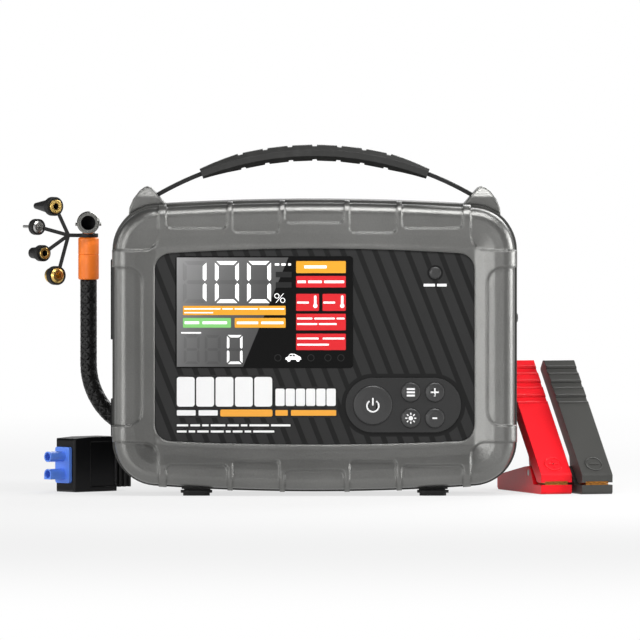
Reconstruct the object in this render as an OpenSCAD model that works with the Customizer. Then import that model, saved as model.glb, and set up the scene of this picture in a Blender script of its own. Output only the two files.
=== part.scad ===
// Jump starter pack with a built-in tyre compressor, its air hose and its clamps.
// Millimetres. X runs across the face, +Y is the back, Z is up from the floor.
// The pack's pieces are drawn face on, as (across, up, towards the viewer), and stood up by face_on().

/* [Case] */
// Width of the case
case_w = 250; // [244:1:270]
// Height of the case from the lowest to the highest point
case_h = 180.2; // [174:1:200]
// Depth of the case
case_d = 86; // [84:1:100]
// Depth of the front frame
frame_d = 21; // [20:1:24]
// Depth of the rear cover
rear_d = 21; // [20:1:26]
// Gap at the seams between the case's shells
seam = 0.3; // [0.2:0.05:0.6]
// Gap between the lowest point of the case and the floor
ground_gap = 2.2; // [1.5:0.1:4]
// Radius of the case's corners, seen from the front
corner_r = 28; // [27.5:0.5:34]
// Rise of the crowned top edge
crown_top = 3; // [1:0.5:5]
// Drop of the crowned bottom edge
crown_bottom = 3.4; // [1:0.2:5]
// Wall of the shells
wall = 3.2; // [2.8:0.1:3.6]
// Radius of the front frame's outer edge
edge_r = 8; // [6:0.5:9]
// Radius of the rear cover's outer edge
rear_edge_r = 14; // [10:1:16]
// Fall of the frame's front from its ridge to the panel
bezel_drop = 3.4; // [2.5:0.1:4.5]
// Width of that falling slope
slope_w = 18; // [16:0.5:19]

/* [Sunk pads round the frame] */
// Depth of the pads
pad_sink = 1.6; // [1:0.1:1.8]
// Width of the ribs between the pads of the long sides
rib_w = 3.2; // [2.5:0.1:4]
// Width of the middle pad
pad_mid_w = 36.8; // [30:0.1:38]
// Width of the pads beside it
pad_inner_w = 29; // [24:0.1:30]
// Width of the outer pads
pad_outer_w = 37.7; // [30:0.1:38.5]
// Reach of the middle pad onto the face
pad_mid_h = 13.8; // [11:0.1:18]
// Reach of the pads beside it
pad_inner_h = 19.9; // [16:0.1:22]
// Reach of the outer pads
pad_outer_h = 17.1; // [13:0.1:20]
// Corner radius of these pads
pad_r = 3; // [2:0.5:4]
// Reach of the side pads onto the face
side_pad_w = 18.6; // [14:0.1:20]
// Height of the side pads
side_pad_h = 97.7; // [80:0.1:104]
// Reach of the corner pads onto the face, from the side and from the end
corner_pad = 28.7; // [28.2:0.1:29.5]
// Corner radius of the side and corner pads
big_pad_r = 9; // [6:0.5:10]

/* [Panel] */
// Width of the frame beside the panel
bezel_side = 26.4; // [26.2:0.1:30]
// Width of the frame above the panel
bezel_top = 29.6; // [28.5:0.1:34]
// Width of the frame below the panel
bezel_bottom = 29.5; // [28.5:0.1:34]
// Corner radius of the panel opening
opening_r = 10; // [6:0.5:14]
// Rise of the opening's top edge
opening_crown_top = 2.9; // [0.5:0.1:4]
// Drop of the opening's bottom edge
opening_crown_bottom = 2; // [0.5:0.1:4]
// Depth of the panel below the lip of the opening
panel_sink = 0.8; // [0.4:0.1:1.2]
// Gap round the panel
panel_gap = 0.2; // [0.1:0.05:0.4]
// Gap between the panel and the circuit board
board_gap = 5; // [4.5:0.1:6]
// Thickness of the circuit board
board_t = 1.6; // [1.2:0.1:2]

/* [Display] */
// Width of the display window
window_w = 109.3; // [100:0.1:112]
// Height of the display window
window_h = 68.8; // [60:0.1:70]
// Distance of the window from the left edge of the opening
window_left = 12.9; // [10:0.1:16]
// Distance of the window from the top of the opening
window_down = 4.9; // [4:0.1:8]
// Thickness of the window
window_t = 1.6; // [1.2:0.1:2]

/* [Controls] */
// Width of the control plate
plate_w = 71.2; // [68:0.1:74]
// Height of the control plate
plate_h = 33.6; // [31.6:0.1:36]
// Thickness of the control plate
plate_t = 0.8; // [0.5:0.1:1.2]
// Distance of the plate from the right edge of the opening
plate_right = 8.3; // [6:0.1:12]
// Distance of the plate from the bottom of the opening
plate_up = 7.6; // [6:0.1:10]
// Diameter of the power button
power_d = 24; // [20:0.1:25]
// Diameter of the small buttons
key_d = 11.8; // [9:0.1:12]
// Distance from the power button to the middle of the small buttons
keys_off = 30.8; // [29.5:0.1:32]
// Distance between the columns of small buttons
key_pitch_x = 14.8; // [14.6:0.1:16]
// Distance between the rows of small buttons
key_pitch_z = 16; // [14.6:0.1:17]
// Diameter of the force start button
force_d = 7.4; // [6:0.1:9]
// Distance of the force start button from the right edge of the opening
force_right = 24.3; // [20:0.1:30]
// Distance of the force start button from the top of the opening
force_down = 15.1; // [12:0.1:20]
// Travel of the buttons
key_travel = 0.8; // [0.5:0.1:0.9]
// Gap round the buttons
key_gap = 0.15; // [0.1:0.05:0.3]
// How far the buttons stand out
key_proud = 0.9; // [0.8:0.1:1.5]

/* [Ports and side] */
// Height of the upper port cover
usb_cover_h = 49; // [46:0.5:52]
// Depth of the upper port cover
usb_cover_w = 35; // [33:0.5:36]
// Height of the upper port cover's middle
usb_cover_z = 120.5; // [118:0.5:124]
// Height of the lower port cover
jump_cover_h = 22.6; // [22:0.2:24]
// Depth of the lower port cover
jump_cover_w = 26; // [22:0.5:30]
// Height of the lower port cover's middle
jump_cover_z = 47.4; // [47:0.2:52]
// Thickness of the port covers
cover_t = 2.2; // [1.8:0.1:2.4]
// How far the port covers stand out of the side
cover_proud = 1.1; // [0.8:0.1:1.3]
// Gap round the port covers
cover_gap = 0.3; // [0.2:0.05:0.5]
// Radius of the two holes of the jump socket
socket_r = 3.45; // [3.35:0.05:3.8]
// Distance between the two poles of the plug and its socket
pole_pitch = 10.8; // [9.5:0.1:11]
// Depth of the jump socket's holes
socket_depth = 14; // [12:0.5:16]
// Diameter of the side button
side_key_d = 6; // [5:0.1:8]
// Height of the side button
side_key_z = 109; // [90:1:112]
// Height of the torch lens
lens_h = 28; // [20:1:32]
// Depth of the torch lens
lens_w = 28; // [20:1:34]
// Height of the torch lens's middle
lens_z = 138; // [134:1:144]

/* [Handle] */
// Radius of the handle's arch
arch_r = 194.5; // [185:0.5:205]
// Rise of the arch above the case
arch_rise = 28.9; // [27:0.1:34]
// Thickness of the strap
strap_t = 2.5; // [2:0.1:3]
// Width of the strap
strap_w = 24; // [20:0.5:26]
// Width of the grip
grip_w = 28; // [27.5:0.5:32]
// Thickness of the grip over its pads
grip_t = 9.75; // [9:0.05:12]
// Thickness of the grip at its ends
grip_end_t = 6.3; // [5.8:0.1:8]
// Half the length of the grip
grip_half = 70; // [60:0.5:76]
// Distance between the grip's grooves
groove_pitch = 15; // [13:0.1:16]
// Width of the grooves
groove_w = 2.8; // [2:0.1:4]
// Depth of the grooves
groove_depth = 0.9; // [0.5:0.1:1.2]
// Distance of the strap pins from the middle
strap_pin_x = 102; // [101:0.25:103]
// Depth of the ears
horn_d = 34; // [32:0.5:38]

/* [Feet] */
// Distance of the feet from the middle
foot_x = 73; // [60:0.5:80]
// Width of a foot's tread
foot_w = 16.5; // [12:0.5:18]
// Depth of a foot's tread
foot_d = 10; // [8:0.5:10.5]
// Step between a foot's tread and its flange
foot_step = 1.5; // [1:0.1:1.6]
// Height of a foot's tread
tread_h = 1.8; // [1:0.1:2]

/* [Compressor] */
// Distance of the pump's cylinder from the case's right side
pump_inset = 82; // [79:0.5:85]
// Height of the motor's axis
motor_z = 32; // [30:0.5:36]
// Depth of the compressor's axis behind the middle of the case
pump_y = 8; // [7:0.25:9]
// Radius of the motor
motor_r = 15; // [12:0.5:16]
// Length of the motor
motor_len = 40; // [34:1:41]
// Teeth of the pinion
pinion_teeth = 10; // [9:1:12]
// Teeth of the crank gear
crank_teeth = 40; // [36:1:42]
// Module of the gears
gear_mod = 1; // [0.9:0.05:1.05]
// Radius of the crank
crank_r = 5; // [3:0.25:6]
// Radius of the cylinder's bore
bore_r = 11; // [9:0.25:11.5]
// Fins of the cylinder
fins = 6; // [4:1:8]
// Blades of the fan
blades = 7; // [5:1:9]

/* [Air hose] */
// Diameter of the hose
hose_d = 10.6; // [9:0.1:10.8]
// Diameter of the sleeve
sleeve_d = 12.9; // [11:0.1:13.4]
// Length of the sleeve's lower part
sleeve_low = 15.5; // [12:0.1:20]
// Length of the sleeve's upper part
sleeve_up = 10.7; // [8:0.1:14]
// Radius of the valve connector
chuck_r = 7.1; // [6.6:0.1:8]
// Radius of the valve connector's bore
chuck_bore_r = 4.4; // [3.9:0.05:4.6]
// Length of the valve connector's turning collar
collar_len = 8; // [6:0.25:10]
// Length of the valve connector's body
chuck_len = 14; // [12:0.5:18]

/* [Nozzle adapters] */
// Width of the rubber strap that holds the adapters
tether_w = 2.3; // [1.8:0.1:3]
// Thickness of that strap
tether_t = 2.2; // [1.8:0.1:3]
// Turn of the adapters away from the viewer
adapter_yaw = 32; // [25:1:40]
// Radius of the cone adapter where the strap holds it
cone_r = 4.7; // [4:0.1:5]
// Length of the cone adapter
cone_len = 24; // [20:0.5:28]
// Radius of the needle adapter where the strap holds it
needle_r = 3.8; // [3:0.1:4.4]
// Length of the needle adapter
needle_len = 18.6; // [15:0.2:22]
// Radius of the tube adapter where the strap holds it
tube_r = 3.9; // [3:0.1:4.6]
// Length of the tube adapter
tube_len = 13; // [10:0.5:16]
// Radius of the brass adapter where the strap holds it
brass_r = 4.7; // [4:0.1:5.2]
// Length of the brass adapter
brass_len = 9; // [7:0.5:12]

/* [Plug box] */
// Length of the plug box
box_len = 36; // [30:0.5:38]
// Thickness of the plug box
box_t = 18; // [16:0.5:19]
// Height of the plug box
box_h = 34; // [30:0.5:34.5]
// Chamfer of the plug box's edges
box_bevel = 1.2; // [0.8:0.1:2]
// Turn of the plug box
box_yaw = 42; // [38:1:50]
// Radius of the plug's round poles
pole_r = 3.25; // [2.8:0.05:3.3]
// Length of the plug's poles
pole_len = 12; // [10:0.5:14]
// Width of the plug's flange
flange_w = 13.3; // [11:0.1:14]
// Height of the plug's flange
flange_h = 22.4; // [20:0.1:24]
// Length of the ribbed boot
boot_len = 14; // [10:0.5:16]
// Height of the ribbed boot
boot_h = 25; // [20:0.5:26]
// Ribs of the boot
boot_ribs = 4; // [3:1:6]

/* [Clamps] */
// Width of a clamp
clamp_w = 20; // [18:0.25:21]
// Length of the upper arm
upper_len = 100; // [90:1:104]
// Length of the lower arm
lower_len = 85; // [80:1:96]
// Angle between the arms
arm_angle = 43.4; // [40:0.2:46]
// Depth of the upper arm's channel
channel_d = 9; // [8:0.25:10]
// Height of the lower arm's lip
lip_h = 5.7; // [4.8:0.1:6]
// Gap between the lips
lip_gap = 1.5; // [1.4:0.1:2]
// Wall of the arms
arm_wall = 2.4; // [2:0.1:2.8]
// Radius of the clamp's pin
clamp_pin_r = 2; // [1.5:0.05:2.4]
// Distance of the pin from the nose
pin_back = 26; // [24:0.5:28]
// Turn of the clamps
clamp_yaw = 18; // [14:1:22]
// Teeth across each jaw
jaw_teeth = 4; // [3:1:6]
// Turns of the clamp's spring
spring_turns = 3.5; // [2.5:0.5:3.5]
// Radius of the spring's wire
spring_wire_r = 0.8; // [0.6:0.05:0.8]

/* [Hidden] */

$fn = 48;

// Case: heights and depths. Depths are measured towards the viewer from the middle of the case.
case_bottom = ground_gap;
case_top = ground_gap + case_h;
half_w = case_w / 2;
face = case_d / 2;
frame_back = face - frame_d;
rear_front = -face + rear_d;
ring_front = frame_back - seam;
ring_back = rear_front + seam;

// Crowned edges: an arc of radius top_r over half a chord, tangent to the corner arcs
chord = half_w - corner_r;
top_r = round((pow(chord, 2) + pow(crown_top, 2)) / (2 * crown_top));
bottom_r = round((pow(chord, 2) + pow(crown_bottom, 2)) / (2 * crown_bottom));
top_centre = case_top - top_r;
bottom_centre = case_bottom + bottom_r;
upper_corner = hundredth(top_centre + sqrt(pow(top_r - corner_r, 2) - pow(chord, 2)));
lower_corner = hundredth(bottom_centre - sqrt(pow(bottom_r - corner_r, 2) - pow(chord, 2)));
top_angle = asin(chord / (top_r - corner_r));
bottom_angle = asin(chord / (bottom_r - corner_r));
overlap_angle = 0.02;
hair = 0.02;

// Front frame: its section falls to the lip round the panel opening
slope_r = (pow(slope_w, 2) + pow(bezel_drop, 2)) / (2 * bezel_drop);
slope_angle = asin(slope_w / slope_r);
lip = face - bezel_drop;
section_reach = corner_r - 0.1;
plate_step = 0.05;
plate_lap = 0.3;
plate_inset = edge_r + slope_w - 2;
plate_back = lip - wall - plate_lap;
opening_x = half_w - bezel_side;
opening_top = case_top - bezel_top;
opening_bottom = case_bottom + bezel_bottom;

// Panel and what sits on it
panel_front = lip - panel_sink;
panel_flange_t = 1;
panel_flange_w = 1.6;
panel_back = plate_back - 0.1 - panel_flange_t;
window_x = -opening_x + window_left + window_w / 2;
window_z = opening_top - window_down - window_h / 2;
window_gap = 0.15;
window_ledge = 2;
plate_x = opening_x - plate_right - plate_w / 2;
plate_z = opening_bottom + plate_up + plate_h / 2;
plate_front = panel_front + plate_t;
power_x = plate_x - plate_w / 2 + plate_h / 2;
keys_x = power_x + keys_off;
force_x = opening_x - force_right;
force_z = opening_top - force_down;
key_flange_t = 0.8;
key_flange_w = 1;
key_seat = 0.2;
board_front = panel_back - board_gap;
board_x = opening_x - 7;
board_low = opening_bottom + 5;
board_high = opening_top - 6;
switch_h = 2;
post_r = 3;

// Sides
side_recess = cover_t - cover_proud + 0.2;
hinge_room = 1.4;
hinge_in = 0.2;
usb_block_h = usb_cover_h - 8;
usb_block_w = usb_cover_w - 5;
socket_block_h = pole_pitch + 2 * socket_r + 1.6;
socket_block_w = 2 * socket_r + 4;
block_gap = 0.2;
screw_r = 1.5;
screw_head_r = 3;
screw_head_t = 2;
screw_sink = 0.6;
boss_r = 4.6;
screw_in = 12;
boss_h = 12;

// Handle: the arch is centred on the middle of the case
arch_top = case_top + arch_rise;
arch_z = arch_top - arch_r;
strap_pin_r = 1.2;
eye_r = 2.3;
eye_lap = strap_pin_r + 0.4;
ear_gap = 0.2;
strap_angle = asin(strap_pin_x / arch_r);
strap_pin_z = arch_z + arch_r * cos(strap_angle);
grip_angle = asin(grip_half / arch_r);
strap_gap = 0.3;

// Feet
foot_seat = underside(foot_x - foot_w / 2 - foot_step) - 0.35;
foot_flange = foot_d / 2 + foot_step;
foot_y = frame_back + foot_flange + 0.3;

// Compressor
pump_x = half_w - pump_inset;
crank_z = motor_z + gear_mod * (pinion_teeth + crank_teeth) / 2 + 0.1;
gear_x0 = pump_x + 3;
gear_t = 5;
plate_x0 = gear_x0 + gear_t + 1;
mount_t = 4;
shaft_r = 3;
motor_shaft_r = 1.6;
run_gap = 0.05;
crank_pin_r = 2;
rod_t = 3.2;
cyl_low = crank_z + gear_mod * crank_teeth / 2 + 6;
cyl_len = 34;
cyl_wall = 2.5;
fin_reach = 2.5;
fan_r = 14;
fan_t = 5;
rod_eye = crank_r + crank_pin_r + 0.4;

// Air hose: its route is a list of points chosen by hand
hose_y = 50;
hose_z = 35.7;
outlet_len = 14;
line_r = 2.5;
line_y = face - wall - 5.8;
hose_path = [
    [29, 50, 35.7], [15, 50, 35.7], [0, 50, 35.7], [-20, 50, 35.7], [-40, 50, 35.7],
    [-60, 50, 35.7], [-80, 50, 35.7], [-91, 50, 35.7], [-98, 50, 35.7], [-103.6, 50, 36.1],
    [-109.1, 50, 37.2], [-114.5, 50, 39], [-119.5, 50, 41.5], [-124.1, 50, 44.6],
    [-128.4, 50, 48.3], [-132.1, 50, 52.5], [-135.2, 50, 57.2], [-137.7, 50, 62.3],
    [-139.5, 50, 67.6], [-140.6, 50, 73.1], [-141, 50, 78.7], [-141, 50, 90], [-141, 50, 105],
    [-141, 50, 120], [-141, 50, 131.5]
];
hose_sides = 10;
hose_x = hose_path[len(hose_path) - 1][0];
sleeve_z = hose_path[len(hose_path) - 1][2];
collar_z = sleeve_z + sleeve_low + sleeve_up + chuck_r + 2.2;
neck_r = 4;
spigot_r = 5.6;

// Nozzle adapters: middles of their front faces, and the knot of the strap
knot = [-153.6, 159];
cone_at = [-161.8, 177];
needle_at = [-172.2, 164.2];
tube_at = [-169, 147.8];
brass_at = [-160.3, 133.9];
ring_t = 1.1;
ring_len = 4;
ring_gap = 0.12;

// Plug box: nearest lower corner, and the plug's middle
box_at = [-149.3, 17];
poles_z = 16.8;
flange_t = 2.2;

// Clamps: nose of each clamp on the floor
red_at = [149.9, -11];
black_at = [175.1, -11];
pin_z = 12.5;
lug_r = 5;
arm_gap = 0.3;
lobe_t = 2.3;
upper_lip = lip_h + lip_gap;
nose_rise = 5.9;
nose_in = 1.5;
tooth_h = 0.8;
jaw_t = 0.5;
jaw_start = 0.9;
jaw_end = jaw_start + 14;
spring_r = 4;
spring_gap = 0.5;

// ---------- outlines and helpers

function arc(x, y, r, a0, a1, n = 8) =
    [for (i = [0:n]) [x + r * cos(a0 + (a1 - a0) * i / n), y + r * sin(a0 + (a1 - a0) * i / n)]];

function reversed(list) = [for (i = [len(list) - 1:-1:0]) list[i]];

// Box with round corners, from (x0, y0) to (x1, y1)
function round_box(x0, y0, x1, y1, r, n = 5) = concat(
    arc(x1 - r, y1 - r, r, 0, 90, n), arc(x0 + r, y1 - r, r, 90, 180, n),
    arc(x0 + r, y0 + r, r, 180, 270, n), arc(x1 - r, y0 + r, r, 270, 360, n));

// Round-cornered box whose top and bottom edges are crowned, d larger all round
function crowned_box(d = 0, corner = opening_r) =
    let (x = opening_x + d, r = max(corner + d, 1), n = 12, c = x - r,
         top = opening_top - opening_crown_top + d, low = opening_bottom + opening_crown_bottom - d)
    concat(
        arc(c, top - r, r, 0, 90, 6),
        [for (i = [1:n - 1]) let (u = 1 - 2 * i / n) [c * u, top + opening_crown_top * (1 - u * u)]],
        arc(-c, top - r, r, 90, 180, 6),
        arc(-c, low + r, r, 180, 270, 6),
        [for (i = [1:n - 1]) let (u = -1 + 2 * i / n) [c * u, low - opening_crown_bottom * (1 - u * u)]],
        arc(c, low + r, r, 270, 360, 6));

// The case's outline, d larger all round
function case_outline(d = 0, n = 12) = concat(
    arc(chord, upper_corner, corner_r + d, 0, 90 - top_angle, n),
    [for (i = [1:n - 1]) arc_point(top_centre, top_r + d, 90 + top_angle * (2 * i / n - 1))],
    arc(-chord, upper_corner, corner_r + d, 90 + top_angle, 180, n),
    arc(-chord, lower_corner, corner_r + d, 180, 270 - bottom_angle, n),
    [for (i = [1:n - 1]) arc_point(bottom_centre, bottom_r + d, 270 + bottom_angle * (2 * i / n - 1))],
    arc(chord, lower_corner, corner_r + d, 270 + bottom_angle, 360, n));

function arc_point(y, r, a) = [r * cos(a), y + r * sin(a)];

// Front frame's section, d inside its skin: x is minus the distance from the outline, y the depth
function frame_skin(d, back = frame_back) = concat(
    [[-d, back]],
    arc(-edge_r, face - edge_r, edge_r - d, 0, 90, 5),
    arc(-edge_r, face - slope_r, slope_r - d, 90, 90 + slope_angle, 3),
    [[-section_reach, lip - d - 0.15]]);

// Rear cover's section, d inside its skin
function rear_skin(d, front = rear_front) = concat(
    [[-d, front]],
    arc(-rear_edge_r, -face + rear_edge_r, rear_edge_r - d, 0, -90, 6),
    [[-section_reach, -face + d]]);

// Height of the floor inside the case, and of the case's underside, at a distance from the middle
function underside(x) = bottom_centre - sqrt(pow(bottom_r, 2) - pow(x, 2));
function inner_floor(x) = underside(x) + wall;

function unit(v) = v / norm(v);
function hundredth(v) = round(100 * v) / 100;

// Stands up what is drawn face on
module face_on() {
    rotate([90, 0, 0]) children();
}

// Sweeps a section round the case's outline: the first child round the corners and the sides, the
// second, a hair smaller, along the crowned edges, whose ends run a little way into the corners
module round_case() {
    for (side = [0, 1]) mirror([side, 0, 0]) {
        translate([chord, upper_corner, 0])
            rotate_extrude(angle = 90 - top_angle) translate([corner_r, 0]) children(0);
        translate([chord, lower_corner, 0]) mirror([0, 1, 0])
            rotate_extrude(angle = 90 - bottom_angle) translate([corner_r, 0]) children(0);
        translate([half_w, upper_corner, 0]) rotate([90, 0, 0])
            linear_extrude(upper_corner - lower_corner) children(0);
    }
    top_edge() children(1);
    bottom_edge() children(1);
}

module top_edge() {
    reach = top_angle + overlap_angle;
    translate([0, top_centre, 0]) rotate(90 - reach)
        rotate_extrude(angle = 2 * reach, $fn = 600) translate([top_r, 0]) children();
}

module bottom_edge() {
    reach = bottom_angle + overlap_angle;
    translate([0, bottom_centre, 0]) rotate(-90 - reach)
        rotate_extrude(angle = 2 * reach, $fn = 600) translate([bottom_r, 0]) children();
}

// Round bar along X, from x0 to x1
module bar_x(x0, x1, r, y = 0, z = 0) {
    translate([x0, y, z]) rotate([0, 90, 0]) cylinder(h = x1 - x0, r = r);
}

// Tube swept along a path: ref is a direction that the path never takes
module tube(path, r, sides, ref) {
    n = len(path);
    rings = [for (i = [0:n - 1])
        let (t = unit(path[min(i + 1, n - 1)] - path[max(i - 1, 0)]), u = unit(cross(ref, t)), v = cross(t, u))
        for (k = [0:sides - 1]) path[i] + r * (cos(360 * k / sides) * u + sin(360 * k / sides) * v)];
    walls = [for (i = [0:n - 2], k = [0:sides - 1])
        let (a = i * sides + k, b = i * sides + (k + 1) % sides)
        each [[a, b + sides, b], [a, a + sides, b + sides]]];
    caps = [for (k = [1:sides - 2]) each [
        [0, k, k + 1], [(n - 1) * sides, (n - 1) * sides + k + 1, (n - 1) * sides + k]]];
    polyhedron(rings, concat(walls, caps), convexity = 6);
}

// ---------- case

// Solid between the skin of the frame and sink below it, for cutting the pads
module pad_skin() {
    polygon(concat([[3, frame_back - 1], [3, face + 2], [-section_reach, face + 2]],
                   reversed(frame_skin(pad_sink, frame_back - 1))));
}

module pad(x0, y0, x1, y1, r) {
    translate([0, 0, frame_back - 2]) linear_extrude(frame_d + 8) polygon(round_box(x0, y0, x1, y1, r));
}

module edge_pads(height, from, to) {
    x1 = pad_mid_w / 2 + rib_w;
    x2 = x1 + pad_inner_w + rib_w;
    spans = [
        [-pad_mid_w / 2, pad_mid_w / 2, pad_mid_h],
        [x1, x1 + pad_inner_w, pad_inner_h], [-x1 - pad_inner_w, -x1, pad_inner_h],
        [x2, x2 + pad_outer_w, pad_outer_h], [-x2 - pad_outer_w, -x2, pad_outer_h]
    ];
    for (s = spans)
        if (to > from) pad(s[0], height - s[2], s[1], to, pad_r);
        else pad(s[0], to, s[1], height + s[2], pad_r);
}

module frame_pads() {
    beyond = 12;
    intersection() {
        top_edge() pad_skin();
        edge_pads(case_top, 0, case_top + beyond);
    }
    intersection() {
        bottom_edge() pad_skin();
        edge_pads(case_bottom, 0, case_bottom - beyond);
    }
    middle = (case_top + case_bottom) / 2;
    for (side = [0, 1]) mirror([side, 0, 0]) {
        intersection() {
            translate([half_w, upper_corner, 0]) rotate([90, 0, 0])
                linear_extrude(upper_corner - lower_corner) pad_skin();
            pad(half_w - side_pad_w, middle - side_pad_h / 2, half_w + beyond + 8, middle + side_pad_h / 2,
                big_pad_r);
        }
        intersection() {
            translate([chord, upper_corner, 0]) rotate(-1)
                rotate_extrude(angle = 98) translate([corner_r, 0]) pad_skin();
            pad(half_w - corner_pad, upper_corner + 0.3, half_w + beyond, case_top + beyond, big_pad_r);
        }
        intersection() {
            translate([chord, lower_corner, 0]) rotate(-97)
                rotate_extrude(angle = 98) translate([corner_r, 0]) pad_skin();
            pad(half_w - corner_pad, case_bottom - beyond, half_w + beyond, lower_corner - 0.3, big_pad_r);
        }
    }
}

// Flat seats for the feet under the front frame and under the rear cover
module foot_seats(z0, z1) {
    w = foot_w + 2 * foot_step + 2;
    for (side = [-1, 1])
        translate([side * foot_x - w / 2, foot_seat, z0]) cube([w, wall, z1 - z0]);
}

module front_frame() {
    color("dimgray") face_on() difference() {
        union() {
            round_case() {
                polygon(concat(frame_skin(0), reversed(frame_skin(wall))));
                polygon(concat(frame_skin(hair), reversed(frame_skin(wall - hair))));
            }
            translate([0, 0, plate_back]) linear_extrude(lip - plate_step - plate_back)
                polygon(crowned_box(min(bezel_side, bezel_top, bezel_bottom) - plate_inset, 0));
            foot_seats(foot_y - foot_flange - 0.15, foot_y + foot_flange);
        }
        frame_pads();
        translate([0, 0, plate_back - 1]) linear_extrude(case_d) polygon(crowned_box());
    }
}

module middle_shell() {
    depth = ring_front - ring_back;
    color("dimgray") face_on() difference() {
        union() {
            translate([0, 0, ring_back]) linear_extrude(depth) difference() {
                polygon(case_outline());
                polygon(case_outline(-wall));
            }
            for (p = screw_places()) {
                translate([p[0], p[1], ring_back]) cylinder(h = boss_h, r = boss_r);
                translate([p[0], p[1], ring_back]) rotate(p[2])
                    translate([0, -1.5, 0]) cube([screw_in - wall / 2, 3, boss_h]);
            }
        }
        for (p = screw_places())
            translate([p[0], p[1], ring_back - 1]) cylinder(h = boss_h - 1, r = screw_r - 0.15);
        port_recess(usb_cover_z, usb_cover_h, usb_cover_w);
        port_recess(jump_cover_z, jump_cover_h, jump_cover_w);
        port_window(usb_cover_z, usb_block_h, usb_block_w);
        port_window(jump_cover_z, socket_block_h, socket_block_w);
        translate([half_w - 2 * wall, side_key_z, 0]) rotate([0, 90, 0])
            cylinder(h = 4 * wall, r = side_key_d / 2 + key_gap);
        translate([half_w - 2 * wall, lens_z - lens_h / 2, -lens_w / 2]) cube([4 * wall, lens_h, lens_w]);
    }
}

// The screws of the rear cover, one in each corner: place, and the direction of the corner
function screw_places() =
    let (d = (corner_r - screw_in) * cos(45), x = chord + d)
    [[x, upper_corner + d, 45], [-x, upper_corner + d, 135],
     [-x, lower_corner - d, 225], [x, lower_corner - d, 315]];

// Room for a port cover in the left side: its hinge is at the back edge
module port_recess(z, h, w) {
    translate([-half_w - 1, z - h / 2 - cover_gap, -w / 2 - hinge_room])
        cube([side_recess + 1, h + 2 * cover_gap, w + hinge_room + cover_gap]);
}

module port_window(z, h, w) {
    translate([-half_w - 1, z - h / 2, -w / 2]) cube([wall + 3, h, w]);
}

module rear_cover() {
    vents = 9;
    vent_w = 3;
    vent_h = 34;
    color("dimgray") face_on() difference() {
        union() {
            round_case() {
                polygon(concat(rear_skin(0), reversed(rear_skin(wall))));
                polygon(concat(rear_skin(hair), reversed(rear_skin(wall - hair))));
            }
            translate([0, 0, -face + 0.1]) linear_extrude(wall + 0.2) polygon(crowned_box(4));
            foot_seats(-foot_y - foot_flange, -foot_y + foot_flange + 0.15);
            for (p = screw_places())
                translate([p[0], p[1], -face + wall - 0.4]) cylinder(h = rear_d - wall + 0.4, r = boss_r);
        }
        for (p = screw_places()) {
            translate([p[0], p[1], -face - 1]) cylinder(h = rear_d + 2, r = screw_r + 0.15);
            translate([p[0], p[1], -face - 1])
                cylinder(h = 1 + screw_sink + screw_head_t + 0.1, r = screw_head_r + 0.2);
        }
        for (i = [0:vents - 1])
            translate([68 + 5.6 * i, crank_z - vent_h / 2, -face - 1])
                linear_extrude(wall + 3) polygon(round_box(0, 0, vent_w, vent_h, vent_w / 2 - 0.05));
        translate([pump_x, hose_z, -face - 1]) cylinder(h = wall + 3, r = neck_r + 0.1);
    }
}

module case_screws() {
    color("silver") face_on() for (p = screw_places()) translate([p[0], p[1], 0]) difference() {
        union() {
            translate([0, 0, -face + screw_sink]) cylinder(h = screw_head_t, r = screw_head_r);
            translate([0, 0, -face + screw_sink])
                cylinder(h = rear_d - screw_sink + boss_h - 3, r = screw_r - 0.2);
        }
        translate([0, 0, -face - 1]) cylinder(h = 1 + screw_sink + 1.4, r = 1.2, $fn = 6);
    }
}

// ---------- panel, display and controls

module panel_posts() {
    inset = post_r + 0.5;
    for (x = [-board_x + inset, board_x - inset], y = [board_low + inset, board_high - inset])
        translate([x, y, board_front]) cylinder(h = panel_back - board_front + 0.5, r = post_r);
}

module face_panel() {
    color("#2e2e2d") face_on() difference() {
        union() {
            translate([0, 0, panel_back]) linear_extrude(panel_front - panel_back)
                polygon(crowned_box(-panel_gap));
            translate([0, 0, panel_back]) linear_extrude(panel_flange_t)
                polygon(crowned_box(panel_flange_w));
            panel_posts();
        }
        translate([0, 0, panel_front - window_t + 0.1]) linear_extrude(window_t + 1)
            polygon(window_outline(window_gap));
        translate([0, 0, panel_back - 1]) linear_extrude(case_d) polygon(window_outline(-window_ledge));
        for (k = keys()) translate([k[0], k[1], panel_back - 1]) cylinder(h = 8, r = k[2] / 2 + key_gap);
        translate([force_x, force_z, panel_back - 1]) cylinder(h = 8, r = force_d / 2 + key_gap);
    }
}

function window_outline(d) = round_box(
    window_x - window_w / 2 - d, window_z - window_h / 2 - d,
    window_x + window_w / 2 + d, window_z + window_h / 2 + d, 2);

module display_window() {
    color("#141414") face_on() translate([0, 0, panel_front - window_t + 0.15])
        linear_extrude(window_t) polygon(window_outline(0));
}

module lcd_module() {
    in = window_ledge + 0.6;
    top = panel_front - window_t - 0.05;
    color("darkslategray") face_on() translate([0, 0, board_front])
        linear_extrude(top - board_front) polygon(window_outline(-in));
}

// Control buttons: place and diameter
function keys() = [
    [power_x, plate_z, power_d],
    [keys_x - key_pitch_x / 2, plate_z + key_pitch_z / 2, key_d],
    [keys_x + key_pitch_x / 2, plate_z + key_pitch_z / 2, key_d],
    [keys_x - key_pitch_x / 2, plate_z - key_pitch_z / 2, key_d],
    [keys_x + key_pitch_x / 2, plate_z - key_pitch_z / 2, key_d]
];

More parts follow.
